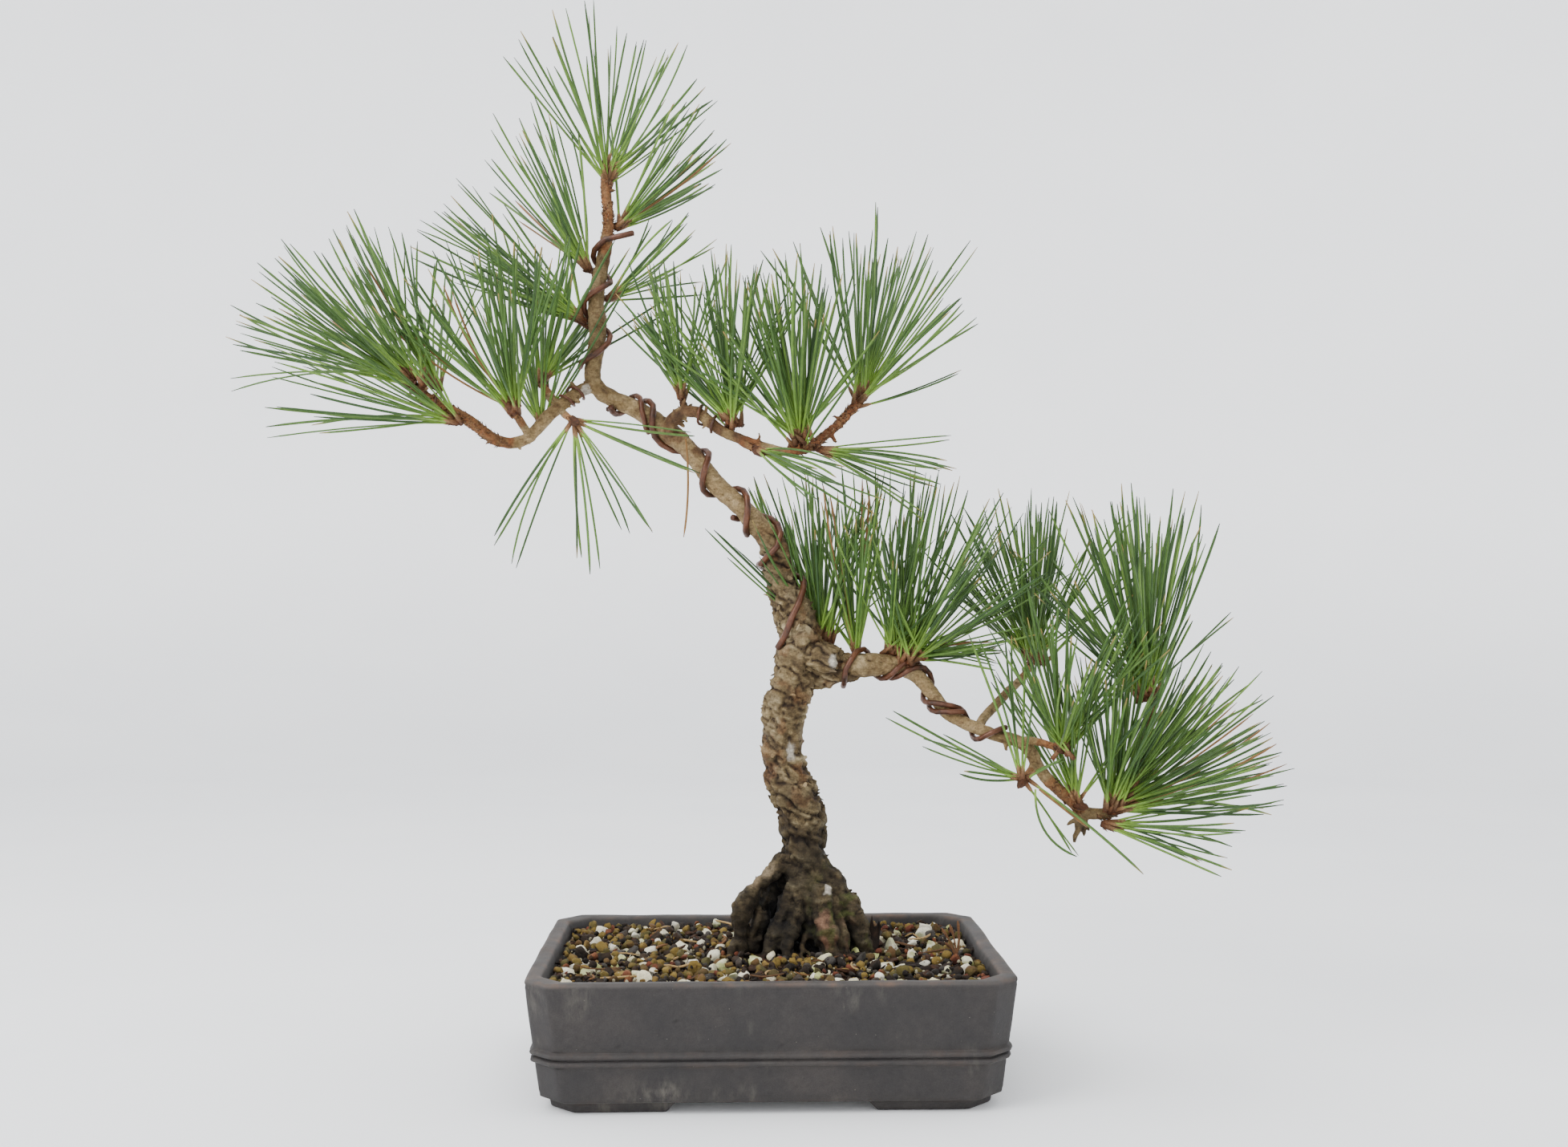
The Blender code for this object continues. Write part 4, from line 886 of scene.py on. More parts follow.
def make_wood():
    """The trunk, branches and roots as one skin of bark, with its relief and its colours."""
    rng = np.random.default_rng(5)
    bm = bmesh.new()
    for node in WOOD:
        bm.from_mesh(NODES[node].data)
    for points, faces in (rootlet_shapes(rng), stub_shapes(rng)):
        added = mesh_of("added", points, faces)
        bm.from_mesh(added)
        bpy.data.meshes.remove(added)
    mesh = remeshed("bark_wood", bm, WOOD_VOXEL)
    points = vertices_of(mesh)
    normals = normals_of(mesh)
    edges = edges_of(mesh)
    place = points / MM
    thick = thickness(points, normals, mesh) / MM
    x, y, z = place.T
    roots = 1 - smoothstep(96, 116, z)
    age = np.maximum(smoothstep(8.5, 14.5, thick), roots * smoothstep(2.0, 7.0, thick))

    warp = np.column_stack([fractal(place / 9, 3, s) for s in (5, 6, 7)])
    slant = place @ np.array(((0.9, 0.0, 0.42), (0.0, 1.0, 0.0), (-0.42, 0.0, 0.9)))
    wrinkle = np.abs(fractal(slant / np.array((20, 20, 6.0)) + warp * 0.5, 4, 81))
    crease = np.abs(fractal(slant / np.array((8.5, 8.5, 3.2)) + warp * 0.4, 3, 82))
    lumps = fractal(place / 17, 3, 91)
    _, gap, plate = cells((slant + warp * 8) / np.array((13, 13, 8.5)), 51)
    chip = cells((place + warp * 3) / np.array((3.8, 3.8, 2.6)), 71)[2]
    flaky = smoothstep(-0.1, 0.4, fractal(place / 13, 2, 61))
    crack_wide = (1 - smoothstep(0.0, 0.05, wrinkle)) * 0.9
    crack_edge = (1 - smoothstep(0.0, 0.07, gap)) * flaky * 0.6
    crack_fine = (1 - smoothstep(0.0, 0.06, crease)) * 0.6
    rough = fractal(place / 2.8, 3, 111)
    knotty = fractal(place / np.array((9, 9, 7)), 3, 141)
    old_shape = (lumps * 1.8 + smoothstep(0, 0.3, wrinkle) * 2.1 + smoothstep(0, 0.2, crease) * 0.75
                 + (plate - 0.5) * 0.7 * flaky - crack_edge * 0.5 + (chip - 0.5) * 0.22 + rough * 0.36 - 1.3)
    root_shape = knotty * 2.6 + smoothstep(0, 0.3, wrinkle) * 0.9 + rough * 0.5 - crack_fine * 0.4 - 0.5
    young_shape = fractal(place / 6, 3, 101) * 0.5 + (chip - 0.5) * 0.32 - crack_fine * 0.28 + rough * 0.3
    scale = np.clip(thick / 7.0, 0.45, 1.0)
    old = old_shape * (1 - roots) + root_shape * roots * np.clip(thick / 8, 0.3, 1.0)
    shape = spread_out(old * age + young_shape * scale * (1 - age), edges, 1)
    points = points + normals * (shape * smoothstep(44, 50, z) * MM)[:, None]
    mesh.vertices.foreach_set("co", points.ravel())
    mesh.update()

    # Colour: pale worn ridges, dark crack lines deepened by painted shade in low relief, rusty flakes,
    # painted shade over the base and in hollows with painted light on up-facing tops, and green moss.
    relief = shape - spread_out(shape, edges, 14)
    value = (0.5 + 0.3 * lumps + 0.22 * (plate - 0.5) + 0.14 * rough + 0.3 * relief
             + 0.3 * fractal(slant / np.array((11, 11, 5)), 3, 145))
    tone_old = palette(value, srgb(40, 31, 20), srgb(67, 53, 34), srgb(94, 78, 52), srgb(121, 105, 75),
                       srgb(158, 143, 110))
    ashen = smoothstep(0.05, 0.4, fractal(place / 16, 3, 151)) * smoothstep(135, 160, z)
    tone_old = blend_colour(ashen * 0.4, tone_old, palette(value, srgb(76, 66, 50), srgb(122, 109, 84),
                                                           srgb(170, 156, 126)))
    rust = smoothstep(0.12, 0.42, fractal(place / 8, 3, 161)) * smoothstep(115, 140, z)
    tone_old = blend_colour(rust * 0.25, tone_old, srgb(122, 76, 44))
    tone_young = palette(value, srgb(82, 62, 40), srgb(120, 98, 64), srgb(144, 122, 86), srgb(168, 146, 110))
    tone_young = tone_young * (1 - 0.34 * smoothstep(340, 385, z + fractal(place / 8, 2, 173) * 22))[:, None]
    low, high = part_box("upper_right_branch")
    in_box = ((points > np.array(low)) & (points < np.array(high))).all(1) & (thick < 12)   # its own wood
    gnarled = spread_out(in_box.astype(float), edges, 12) * smoothstep(-0.5, 0.2, fractal(place / 7, 2, 177))
    tone_young = blend_colour(gnarled * 0.9, tone_young, palette(value, srgb(48, 32, 20), srgb(86, 58, 36),
                                                                 srgb(120, 92, 64)))
    specks = smoothstep(0.3, 0.5, fractal(place / 1.7, 2, 171))
    tone_young = blend_colour(specks * 0.55, tone_young, srgb(82, 56, 38))
    tone = blend_colour(age, tone_young, tone_old)
    # dark crack lines are the bark's own colour; the term from low relief adds painted shade in hollows
    cracks_and_hollow_shade = ((crack_wide * 0.8 + crack_edge * 0.8) * age + crack_fine * (0.55 * age + 0.35 * (1 - age))
              + smoothstep(0.15, 0.9, -relief) * 0.6)
    cracks_and_hollow_shade = np.clip(cracks_and_hollow_shade, 0, 1)
    tone = blend_colour(cracks_and_hollow_shade, tone, srgb(38, 27, 20))
    # painted shade: darker towards the base, with painted light kept on up-facing surfaces
    lower_shade = 1 - smoothstep(98, 162, z + fractal(place / 10, 2, 121) * 18)
    painted_top_light = np.clip(normals[:, 2], 0, 1) * smoothstep(-0.3, 0.3, fractal(place / 6, 2, 181))
    tone = tone * (1 - 0.8 * lower_shade * (1 - 0.6 * painted_top_light))[:, None]
    # painted shade: the wood below 150 mm darkened the less open the space around it is, deepest in hollows
    opened = spread_out(openness(points, normals, mesh, np.flatnonzero(z < 150)), edges, 2)
    tone = tone * (0.1 + 0.9 * opened ** 1.8)[:, None]
    for spot, size, shade in WORN_ROOTS:
        near = 1 - smoothstep(size * 0.5, size * 1.1, lengths(place - np.array(spot)) + rough * 2)
        shade = srgb(*shade)
        worn = palette(0.5 + 0.4 * rough + 0.4 * relief, shade * 0.35, shade, shade * 1.5)
        tone = blend_colour(near * 0.8 * opened, tone, worn)
    papery = np.zeros(len(z))
    for line in SHOOT_LINES:
        for spot in line[1:]:
            papery = np.maximum(papery, 1 - smoothstep(4.5, 6.5, lengths(place - spot / MM)))
    papery = np.clip(papery * (0.75 + 0.6 * rough), 0, 1)
    tone = blend_colour(papery * 0.8, tone, palette(value, srgb(72, 40, 22), srgb(122, 70, 38),
                                                    srgb(160, 112, 72)))
    # painted shade: the gap between the aerial root and the trunk darkened further
    hollow = lower_shade * np.exp(-((x - 6) / 11) ** 2) * np.exp(-((z - 74) / 20) ** 2) * (y < 14)
    tone = tone * (1 - 0.75 * hollow)[:, None]
    mossy = (1 - smoothstep(78, 116, z)) * smoothstep(14, 40, x)
    mossy = mossy * smoothstep(0.08, 0.42, fractal(place / 5.5, 3, 131))
    moss = palette(0.5 + 0.5 * rough, srgb(34, 38, 18), srgb(78, 84, 38))
    tone = blend_colour(np.clip(mossy, 0, 0.7), tone, moss)
    pale = np.zeros(len(z))
    for spot, size in PALE_SCARS:
        away = lengths((place - np.array(spot)) * np.array((1.35, 0.5, 0.8)))
        pale = np.maximum(pale, 1 - smoothstep(size * 0.5, size * 1.05, away + rough * 2.6))
    scarred = palette(0.6 + 0.4 * rough, srgb(156, 145, 128), srgb(208, 202, 190))
    tone = blend_colour(pale * 0.85, tone, scarred)
    traits = np.column_stack([cracks_and_hollow_shade, age, lower_shade])
    wood = finish_piece("bark_wood", mesh, BARK_MATERIAL, np.clip(tone, 0.002, 0.9), traits)
    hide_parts(*WOOD)
    make_bark_flakes(points, normals_of(mesh), age, tone, rng)
    return wood


def make_bark_flakes(points, normals, age, tone, rng):
    """Loose flakes of bark that stand off the old trunk with one edge lifted."""
    z = points[:, 2] / MM
    likely = np.flatnonzero((age > 0.8) & (z > 84) & (z < 268))
    steps = 8
    out_points, faces, colours = [], [], []
    for k in rng.choice(likely, BARK_FLAKES, replace=False):
        n = unit(normals[k])
        along_way = unit(np.cross(n, rng.normal(size=3)) + np.array((0, 0, 0.3)))
        across = np.cross(n, along_way)
        long = rng.uniform(1.4, 4.6) * MM
        wide = rng.uniform(0.9, 2.4) * MM
        lift = rng.uniform(0.1, 1.5) * MM
        base = points[k] - n * 0.25 * MM
        rim = []
        for s in range(steps):
            a = s / steps * 2 * math.pi
            r = rng.uniform(0.75, 1.1)
            u, v = math.cos(a) * r, math.sin(a) * r
            rise = max(0.0, u) ** 1.6 * lift + 0.3 * MM
            rim.append(base + along_way * u * long / 2 + across * v * wide / 2 + n * rise)
        first = len(out_points) + 1
        out_points += [base + n * 0.55 * MM] + rim + [p - n * 0.4 * MM for p in rim] + [base - n * 0.2 * MM]
        for s in range(steps):
            s2 = (s + 1) % steps
            faces.append([first - 1, first + s, first + s2])
            faces.append([first + s, first + steps + s, first + steps + s2, first + s2])
            faces.append([first + 2 * steps, first + steps + s2, first + steps + s])
        shade = tone[k] * rng.uniform(0.75, 1.35)
        # painted shade: each flake's underside much darker than its top
        colours += [shade] + [np.clip(shade * 1.2, 0, 0.8)] * steps + [shade * 0.45] * (steps + 1)
    new_piece("bark_flakes", np.array(out_points), faces, BARK_MATERIAL, np.array(colours),
              np.tile((0.0, 1.0, 0.0), (len(out_points), 1)), smooth=False)


BARK_MATERIAL = bark_look()
wood = make_wood()
WOOD_TREE = tree_over(wood.data)


# ---- shaping wire ----------------------------------------------------------------------------
WIRE_MATERIAL = wire_look()
FINE_WIRES = ("left_branch_wire", "left_end_wire", "upper_right_wire")
for node in sorted(n for n in NODES if n.endswith("wire")):
    thin = node in FINE_WIRES
    bm = bmesh.new()
    bm.from_mesh(NODES[node].data)
    coil = remeshed(node + "_smooth", bm, (0.3 if thin else 0.45) * MM, 4)
    points = vertices_of(coil)
    swell = (0.08 if thin else 0.16) + fractal(points / MM / 3, 2, 7)[:, None] * 0.06
    points += normals_of(coil) * swell * MM
    coil.vertices.foreach_set("co", points.ravel())
    made = finish_piece(node + "_finish", coil, WIRE_MATERIAL)
    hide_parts(node)


# ---- needles ---------------------------------------------------------------------------------
BASE_GREEN = srgb(126, 160, 62)
LIGHT_GREEN = srgb(108, 140, 60)
MID_GREEN = srgb(74, 106, 44)
DARK_GREEN = srgb(44, 69, 33)
BLUE_GREEN = srgb(54, 78, 46)
TIP_GREEN = srgb(40, 58, 30)
TIP_YELLOW = srgb(150, 122, 66)
DRY_BROWN = srgb(126, 92, 52)
SCALE_BROWN = srgb(96, 56, 30)
SCALE_PALE = srgb(156, 122, 84)
GOLDEN_TURN = 2.39996           # the angle from one scale to the next round a shoot
NEEDLE_STEPS = 12
NEEDLE_SIDES = 5
LONGEST_NEEDLE = 101 * MM
NEEDLE_RADIUS = (0.62 * MM, 0.78 * MM)
DRY_SHARE = 0.02                # how many of the needle pairs are brown
FILL = 0.75                     # how much of its listed fullness every open tuft gets
FULLNESS = {                    # needles between the modelled bundles, as a share of those bundles
    "end_shoot_top": 1.5, "end_shoot_fan": 1.5, "lower_third": 0.8, "lower_second": 0.6, "lower_inner": 1.2,
    "back_shoot": 1.0, "knob": 1.2, "right_middle": 1.4, "right_second": 1.3, "right_inner": 1.2,
    "left_end": 0.9, "left_outer": 0.9, "left_inner": 1.0, "left_mid": 0.9, "branch_end": 1.3,
    "side_twig": 1.2, "leader_left_low": 1.2, "apex": 0.8, "right_end": 1.0}
SPRAYS = {                      # bundles that fill the crown: start, direction, scatter, count, length in mm
    "end_shoot_fan": [((-2, -3, 0), (0.05, -0.2, 1), (0.36, 0.32, 0.1), 30, 92),
                      ((0, 2, 2), (0.75, 0.1, 0.7), (0.3, 0.3, 0.3), 16, 95)],
    "back_shoot": [((0, 0, -4), (-0.15, -0.1, 1), (0.42, 0.3, 0.1), 30, 90)],
    "end_shoot_top": [((-2, 0, -12), (-0.35, -0.1, 1), (0.42, 0.3, 0.1), 24, 92)],
    "side_twig": [((0, 0, 0), (0.35, -0.1, 1), (0.4, 0.3, 0.1), 14, 86)],
    "lower_second": [((0, -2, 0), (0.3, -0.1, 1), (0.62, 0.36, 0.12), 15, 90),
                     ((4, -6, -1), (1, -0.3, 0.22), (0.12, 0.25, 0.22), 9, 72)],
    "lower_third": [((0, -2, 0), (0.1, 0.2, 1), (0.6, 0.36, 0.12), 12, 90)],
    "knob": [((2, -2, 0), (-0.1, -0.1, 1), (0.42, 0.3, 0.1), 24, 92)],
    "right_second": [((0, 0, 0), (-0.2, -0.1, 1), (0.5, 0.3, 0.1), 18, 88)],
    "right_middle": [((0, -2, 0), (-0.05, 0, 1), (0.5, 0.3, 0.1), 18, 90)],
    "left_mid": [((0, 0, 0), (-0.4, 0.1, 1), (0.45, 0.3, 0.1), 12, 84)],
    "left_end": [((8, 0, -5), (-0.3, 0.1, 0.8), (0.4, 0.3, 0.2), 9, 86)]}
LOOSE = {                       # needles by themselves: three points in x and z in mm, and whether dry
    "end_shoot_fan": [((188, 138), (226, 146), (263, 168), True), ((189, 140), (222, 150), (259, 179), True),
                      ((190, 137), (230, 142), (267, 158), True), ((188, 141), (214, 156), (249, 184), True),
                      ((186, 142), (208, 160), (240, 190), True)],
    "right_inner": [((-43, 326), (-40, 300), (-44, 275), True)],
    "low_spur": [((134, 147), (133, 122), (155, 113), False), ((136, 147), (150, 136), (160, 128), True)]}
SCALE_FACES = ((0, 1, 2, 3, 4), (9, 8, 7, 6, 5), (0, 5, 6, 1), (1, 6, 7, 2), (2, 7, 8, 3), (3, 8, 9, 4),
               (4, 9, 5, 0))
BUD_GIRTH = {"end_shoot_fan": 2.9, "end_shoot_low": 1.3, "lower_second": 1.4, "knob": 1.3}
SPARSE = ("left_hanging", "right_hanging", "low_spur", "end_shoot_low", "right_droop", "leader_right_low")


def along(line, radii, share):
    """A point, radius and direction at a share of a line's length, which runs from the bud back."""
    at = share * (len(line) - 1)
    i = min(int(at), len(line) - 2)
    f = at - i
    way = unit(line[i] - line[i + 1])
    return line[i] * (1 - f) + line[i + 1] * f, radii[i] * (1 - f) + radii[i + 1] * f, way


def curve(start, control, end, t):
    """A quadratic curve, at the shares t in a column."""
    return (1 - t) ** 2 * start + 2 * t * (1 - t) * control + t ** 2 * end


def paired_needles(base, middle, tip, rng):
    """The two needles of one sheath, parting towards their tips and bowing a little."""
    run = tip - base
    length = np.linalg.norm(run)
    spread = rng.normal(size=3)
    spread = unit(spread - run * (spread @ run) / length ** 2)
    droop = np.array((0, 0, -1.0)) * length * rng.uniform(0.0, 0.045) * (1 - abs(run[2]) / length)
    twist = unit(np.cross(run, spread)) * rng.normal() * 0.02 * length
    t = np.linspace(0, 1, NEEDLE_STEPS)[:, None]
    out = []
    for k in range(2):
        part = spread * (1 if k else -1) * rng.uniform(0.014, 0.062) * length
        end = tip + part + twist + droop
        end = base + (end - base) * (rng.uniform(0.93, 1.0) if k else 1.0)
        bow = ((middle - (base + tip) / 2) * rng.uniform(0.3, 1.3) + part * rng.uniform(-0.2, 0.6)
               + rng.normal(size=3) * 2.4 * MM - droop * 0.4)
        out.append(curve(base, (base + end) / 2 + bow, end, t))
    return out


def needle_tint(rng, t, dry):
    """One needle's colour from its sheath to its tip."""
    if dry:
        return DRY_BROWN * rng.uniform(0.7, 1.1) * np.ones((len(t), 1))
    greens = np.array((LIGHT_GREEN, MID_GREEN, DARK_GREEN, BLUE_GREEN))
    share = rng.dirichlet((0.55, 1.0, 0.8, 0.6))
    body = share @ greens * rng.uniform(0.88, 1.16)
    tip = TIP_YELLOW if rng.uniform() < 0.3 else TIP_GREEN * rng.uniform(0.8, 1.1)
    fade = rng.uniform(0.2, 0.42)
    stops = (0, 0.08, fade, 0.93, 0.965, 1.0)
    tint = np.empty((len(t), 3))
    for c in range(3):
        tint[:, c] = np.interp(t, stops, (BASE_GREEN[c] * 1.05, BASE_GREEN[c], body[c], body[c] * 0.95,
                                          (body[c] + tip[c]) / 2, tip[c]))
    return tint


def make_tuft(node, seed):
    """All needles of one tuft along the modelled bundles and between them, then its bud."""
    rng = np.random.default_rng(seed)
    name = node.replace("needles_", "")
    centre, spikes = TUFT_SHAPES[name]
    runs = np.array([tip - centre for _, tip in spikes])
    longest = min(LONGEST_NEEDLE, np.median(lengths(runs)) * 1.08)
    ways = runs / lengths(runs)[:, None]
    axis = unit(ways.mean(0))
    if name in TERMINAL:
        line, radii = STEMS[name]
    else:
        line = np.array([centre + axis * 3.5 * MM, centre - axis * 5 * MM])
        radii = np.array([1.8, 2.4]) * MM * BUD_GIRTH.get(name, 1.0)
    bundles = [(way, min(length, longest), None) for way, length in zip(ways, lengths(runs))]
    for start, aim, scatter, count, length in SPRAYS.get(name, ()):
        for _ in range(count):
            way = unit(unit(np.array(aim, float)) + rng.normal(size=3) * np.array(scatter))
            foot = centre + (np.array(start) + rng.normal(size=3) * (2.5, 2.0, 1.5)) * MM
            bundles.append((way, length * rng.uniform(0.7, 1.04) * MM, foot))
    extra = int(len(spikes) * (0.2 if name in SPARSE else FULLNESS.get(name, 0.9) * FILL))
    stray = np.array((0.24, 0.26, 0.14))
    for _ in range(extra):
        picks = rng.choice(len(ways), 3, replace=len(ways) < 3)
        share = rng.dirichlet((0.8, 0.8, 0.8))
        way = unit(share @ ways[picks] + rng.normal(size=3) * stray)
        if way @ axis < 0.1:
            continue
        bundles.append((way, longest * rng.uniform(0.7, 1.0), None))
    paths, tints, sheaths, sheath_r = [], [], [], []
    t = np.linspace(0, 1, NEEDLE_STEPS)
    for way, length, foot in bundles:
        lean = 1 - way @ axis
        share = rng.uniform(0, min(1.0, 17 * MM / max(np.linalg.norm(line[0] - line[-1]), 1e-6)))
        share *= min(1.0, 0.25 + lean * 1.6)
        spot, radius, stem_way = along(line, radii, share)
        side = unit(way - stem_way * (way @ stem_way) + rng.normal(size=3) * 0.25)
        base = foot if foot is not None else spot + side * radius * 0.7
        tip = (centre if foot is None else foot) + way * length
        middle = (base + tip) / 2 + np.array((0, 0, (-0.035 if tip[2] > centre[2] else 0.03) * length))
        dry = rng.uniform() < DRY_SHARE
        pair = paired_needles(base, middle, tip, rng)
        paths += pair
        tints += [needle_tint(rng, t, dry) for _ in pair]
        ahead = unit((pair[0][1] + pair[1][1]) / 2 - base)
        size = rng.uniform(0.85, 1.2)
        sheaths.append([base + ahead * (s * size - 1.2) * MM for s in (0, 2.0, 4.2, 6.4, 8.4)])
        sheath_r.append(np.array((1.35, 1.3, 1.2, 1.0, 0.5)) * MM)
    for k, (start, bend, end, dry) in enumerate(LOOSE.get(name, ())):
        depth = centre[1] / MM - 3
        three = [np.array((p[0], depth - k * s, p[1])) * MM for s, p in enumerate((start, bend, end))]
        paths.append(curve(*three, t[:, None]))
        tints.append(needle_tint(rng, t, dry))
    widths = rng.uniform(*NEEDLE_RADIUS, len(paths))
    profile = np.interp(t, (0, 0.1, 0.88, 0.97, 1.0), (0.82, 1.0, 0.96, 0.84, 0.3))
    points, faces = tubes(paths, widths[:, None] * profile[None, :], NEEDLE_SIDES, rng, flat=0.7)
    colours = np.repeat(np.array(tints).reshape(-1, 3), NEEDLE_SIDES, axis=0)
    tuft = new_piece("tuft_" + name, points, faces, NEEDLE_MATERIAL, colours)
    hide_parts(node)
    make_bud(name, line, radii, sheaths, sheath_r, rng)


def make_bud(name, line, radii, sheaths, sheath_r, rng):
    """The brown sheaths at the needles' feet, and the papery scales on the shoot behind them."""
    points, faces = tubes(sheaths, sheath_r, 6, rng)
    tone = rng.uniform(0, 1, len(sheaths))[:, None, None]
    shade = np.array((0, 0.15, 0.4, 0.75, 1.0))[None, :, None]
    colours = (SCALE_BROWN * (0.5 + 0.6 * tone)) * (1 - shade) + SCALE_PALE * shade * (0.55 + 0.4 * tone)
    colours = np.repeat(colours.reshape(-1, 3), 6, axis=0)
    for more_points, more_faces, more_colours in (paper_scales(line, radii, rng), bud_core(line, radii, rng)):
        faces = faces + [[i + len(points) for i in f] for f in more_faces]
        points = np.vstack([points, more_points])
        colours = np.vstack([colours, more_colours])
    new_piece("bud_" + name, points, faces, SCALE_MATERIAL, colours)


def bud_core(line, radii, rng):
    """A lumpy tapered core that the sheaths and scales grow from."""
    way = unit(line[0] - line[1])
    steps = np.array((-5.5, -3.5, -1.5, 0.5, 2.5, 4.2, 5.4)) * MM
    size = np.array((0.5, 0.9, 1.08, 1.0, 0.8, 0.5, 0.15)) * radii[0] * 1.05
    steps *= max(1.0, radii[0] / (2.4 * MM)) ** 0.7
    path = (line[0] + way * steps[:, None])[None]
    points, faces = tubes(path, size[None], 10, rng)
    points = points + fractal(points / MM / 1.6, 2, 33)[:, None] * 0.4 * MM
    colours = SCALE_BROWN * (0.55 + 0.3 * fractal(points / MM, 2, 9)[:, None])
    return points, faces, colours


def paper_scales(line, radii, rng, spacing=0.26 * MM):
    """Small curled papery scales standing off a shoot, pointing to its tip."""
    length = lengths(np.diff(line, axis=0)).sum()
    points, faces, colours = [], [], []
    for k in range(int(length / spacing)):
        share = (k + rng.uniform()) * spacing / length
        where, radius, way = along(line, radii, min(share, 1.0))
        guide = unit(np.cross(way, (0.3, 1.0, 0.2)))
        other = np.cross(way, guide)
        turn = k * GOLDEN_TURN + rng.uniform(-0.4, 0.4)
        out = guide * math.cos(turn) + other * math.sin(turn)
        side = np.cross(way, out)
        size = rng.uniform(1.2, 2.9) * MM * (1.15 - 0.4 * share)
        lift = rng.uniform(0.05, 0.5)
        half = rng.uniform(0.5, 1.15) * MM
        root = where + out * radius * 0.85
        near, normal, _, away = WOOD_TREE.find_nearest(Vector(root))
        if away < 3 * MM:
            out = unit(np.array(normal))
            root = np.array(near) - out * 0.25 * MM
            side = unit(np.cross(way, out))
        elif share * length > 5 * MM:
            continue
        tipway = unit(way * (1 - lift) + out * lift)
        mid = root + tipway * size * 0.5 + out * rng.uniform(0, 0.35) * MM
        end = root + tipway * size + out * rng.uniform(-0.4, 0.8) * MM + way * 0.3 * MM
        thick = out * 0.22 * MM
        first = len(points)
        outline = [root - side * half, root + side * half, mid + side * half * 0.85, end,
                   mid - side * half * 0.85]
        under = [p - thick for p in outline]
        under[3] = end - thick * 0.5
        points += outline + under
        faces += [[first + i for i in f] for f in SCALE_FACES]
        tone = SCALE_BROWN * rng.uniform(0.5, 1.15)
        # painted shade: each scale darker at its root and on its underside
        colours += [tone * 0.8] * 2 + [tone, SCALE_PALE * rng.uniform(0.5, 0.95), tone] + [tone * 0.6] * 5
    return np.array(points), faces, np.array(colours)


NEEDLE_MATERIAL = needle_look()
SCALE_MATERIAL = scale_look()
for seed, node in enumerate(sorted(n for n in NODES if n.startswith("needles_"))):
    make_tuft(node, 100 + seed)


# ---- soil ------------------------------------------------------------------------------------
GRAIN_KINDS = {   # share, smallest and largest radius in mm, flatness, colours
    "pumice": (0.13, 3.4, 7.8, 0.85, [srgb(226, 216, 188), srgb(214, 206, 170), srgb(178, 182, 118),
                                       srgb(226, 220, 196), srgb(230, 224, 206)]),
    "fired_clay": (0.29, 2.1, 4.9, 0.9, [srgb(112, 92, 42), srgb(88, 78, 38), srgb(134, 110, 54),
                                         srgb(78, 72, 42), srgb(96, 72, 44)]),
    "lava": (0.26, 1.9, 5.0, 0.85, [srgb(40, 31, 24), srgb(56, 43, 32), srgb(30, 25, 20), srgb(70, 66, 62)]),
    "bark_chip": (0.29, 2.2, 6.2, 0.42, [srgb(44, 28, 18), srgb(66, 42, 26), srgb(32, 22, 16)]),
    "red_clay": (0.06, 1.8, 3.8, 0.9, [srgb(104, 56, 38), srgb(88, 46, 32), srgb(124, 78, 50)]),
}
GRAINS = 2350
GRAIN_BED = 4.5 * MM            # how far under the bed's surface the grains start
LARGE_GRAIN = 3.2 * MM
ABOVE_POT = 200 * MM
BED_LEAST = 30 * MM             # a ray that lands lower than this went down past the bed
CORNER_ROOM = 9.6 * MM          # how much the bed's cut corners take off its sides
CHIP_FLATNESS = 0.6             # grains flatter than this are chips that lie level
FINE_CRUMBS = 1900


def icosphere(level):
    mesh = made_with("ball", bmesh.ops.create_icosphere, subdivisions=level, radius=1.0)
    faces = np.array([tuple(f.vertices) for f in mesh.polygons])
    points = vertices_of(mesh)
    bpy.data.meshes.remove(mesh)
    return points, faces


SPHERES = {level: icosphere(level) for level in (1, 2, 3)}


def surface_height(node, spots):
    """The height of a node's top at each (x, y)."""
    tree = tree_over(NODES[node].data)
    out = []
    for x, y in spots:
        hit = tree.ray_cast(Vector((x, y, ABOVE_POT)), Vector((0, 0, -1)))
        out.append(hit[0].z if hit[0] is not None else 0.0)
    return np.array(out)


def stone(radius, flat, rng):
    """One broken granule: a ball with planes knocked off it and a rough skin."""
    large = radius > LARGE_GRAIN
    shape, faces = SPHERES[3 if large else 2]
    body = shape.copy()
    for _ in range(12 if large else 7):
        way = unit(rng.normal(size=3))
        over = body @ way - rng.uniform(0.42, 0.86)
        body = body - np.outer(np.maximum(over, 0) * 0.94, way)
    seed = rng.uniform(0, 50, 3)
    skin = fractal(shape * 1.6 + seed, 2, 3) * 0.22 + fractal(shape * 4.5 + seed, 2, 4) * 0.045
    body *= 1 + skin[:, None]
    body *= np.array((1.0, rng.uniform(0.68, 1.0), flat * rng.uniform(0.7, 1.0)))
    if flat < CHIP_FLATNESS:
        body = body * np.array((1.3, 0.8, 1.0)) @ (np.eye(3) + rng.normal(size=(3, 3)) * 0.22)
        spin = rng.uniform(0, 2 * math.pi)
        c, s = math.cos(spin), math.sin(spin)
        turn = np.array(((c, -s, 0), (s, c, 0), (0, 0, 1)))
    else:
        turn, _ = np.linalg.qr(rng.normal(size=(3, 3)))
    return body @ turn * radius, faces


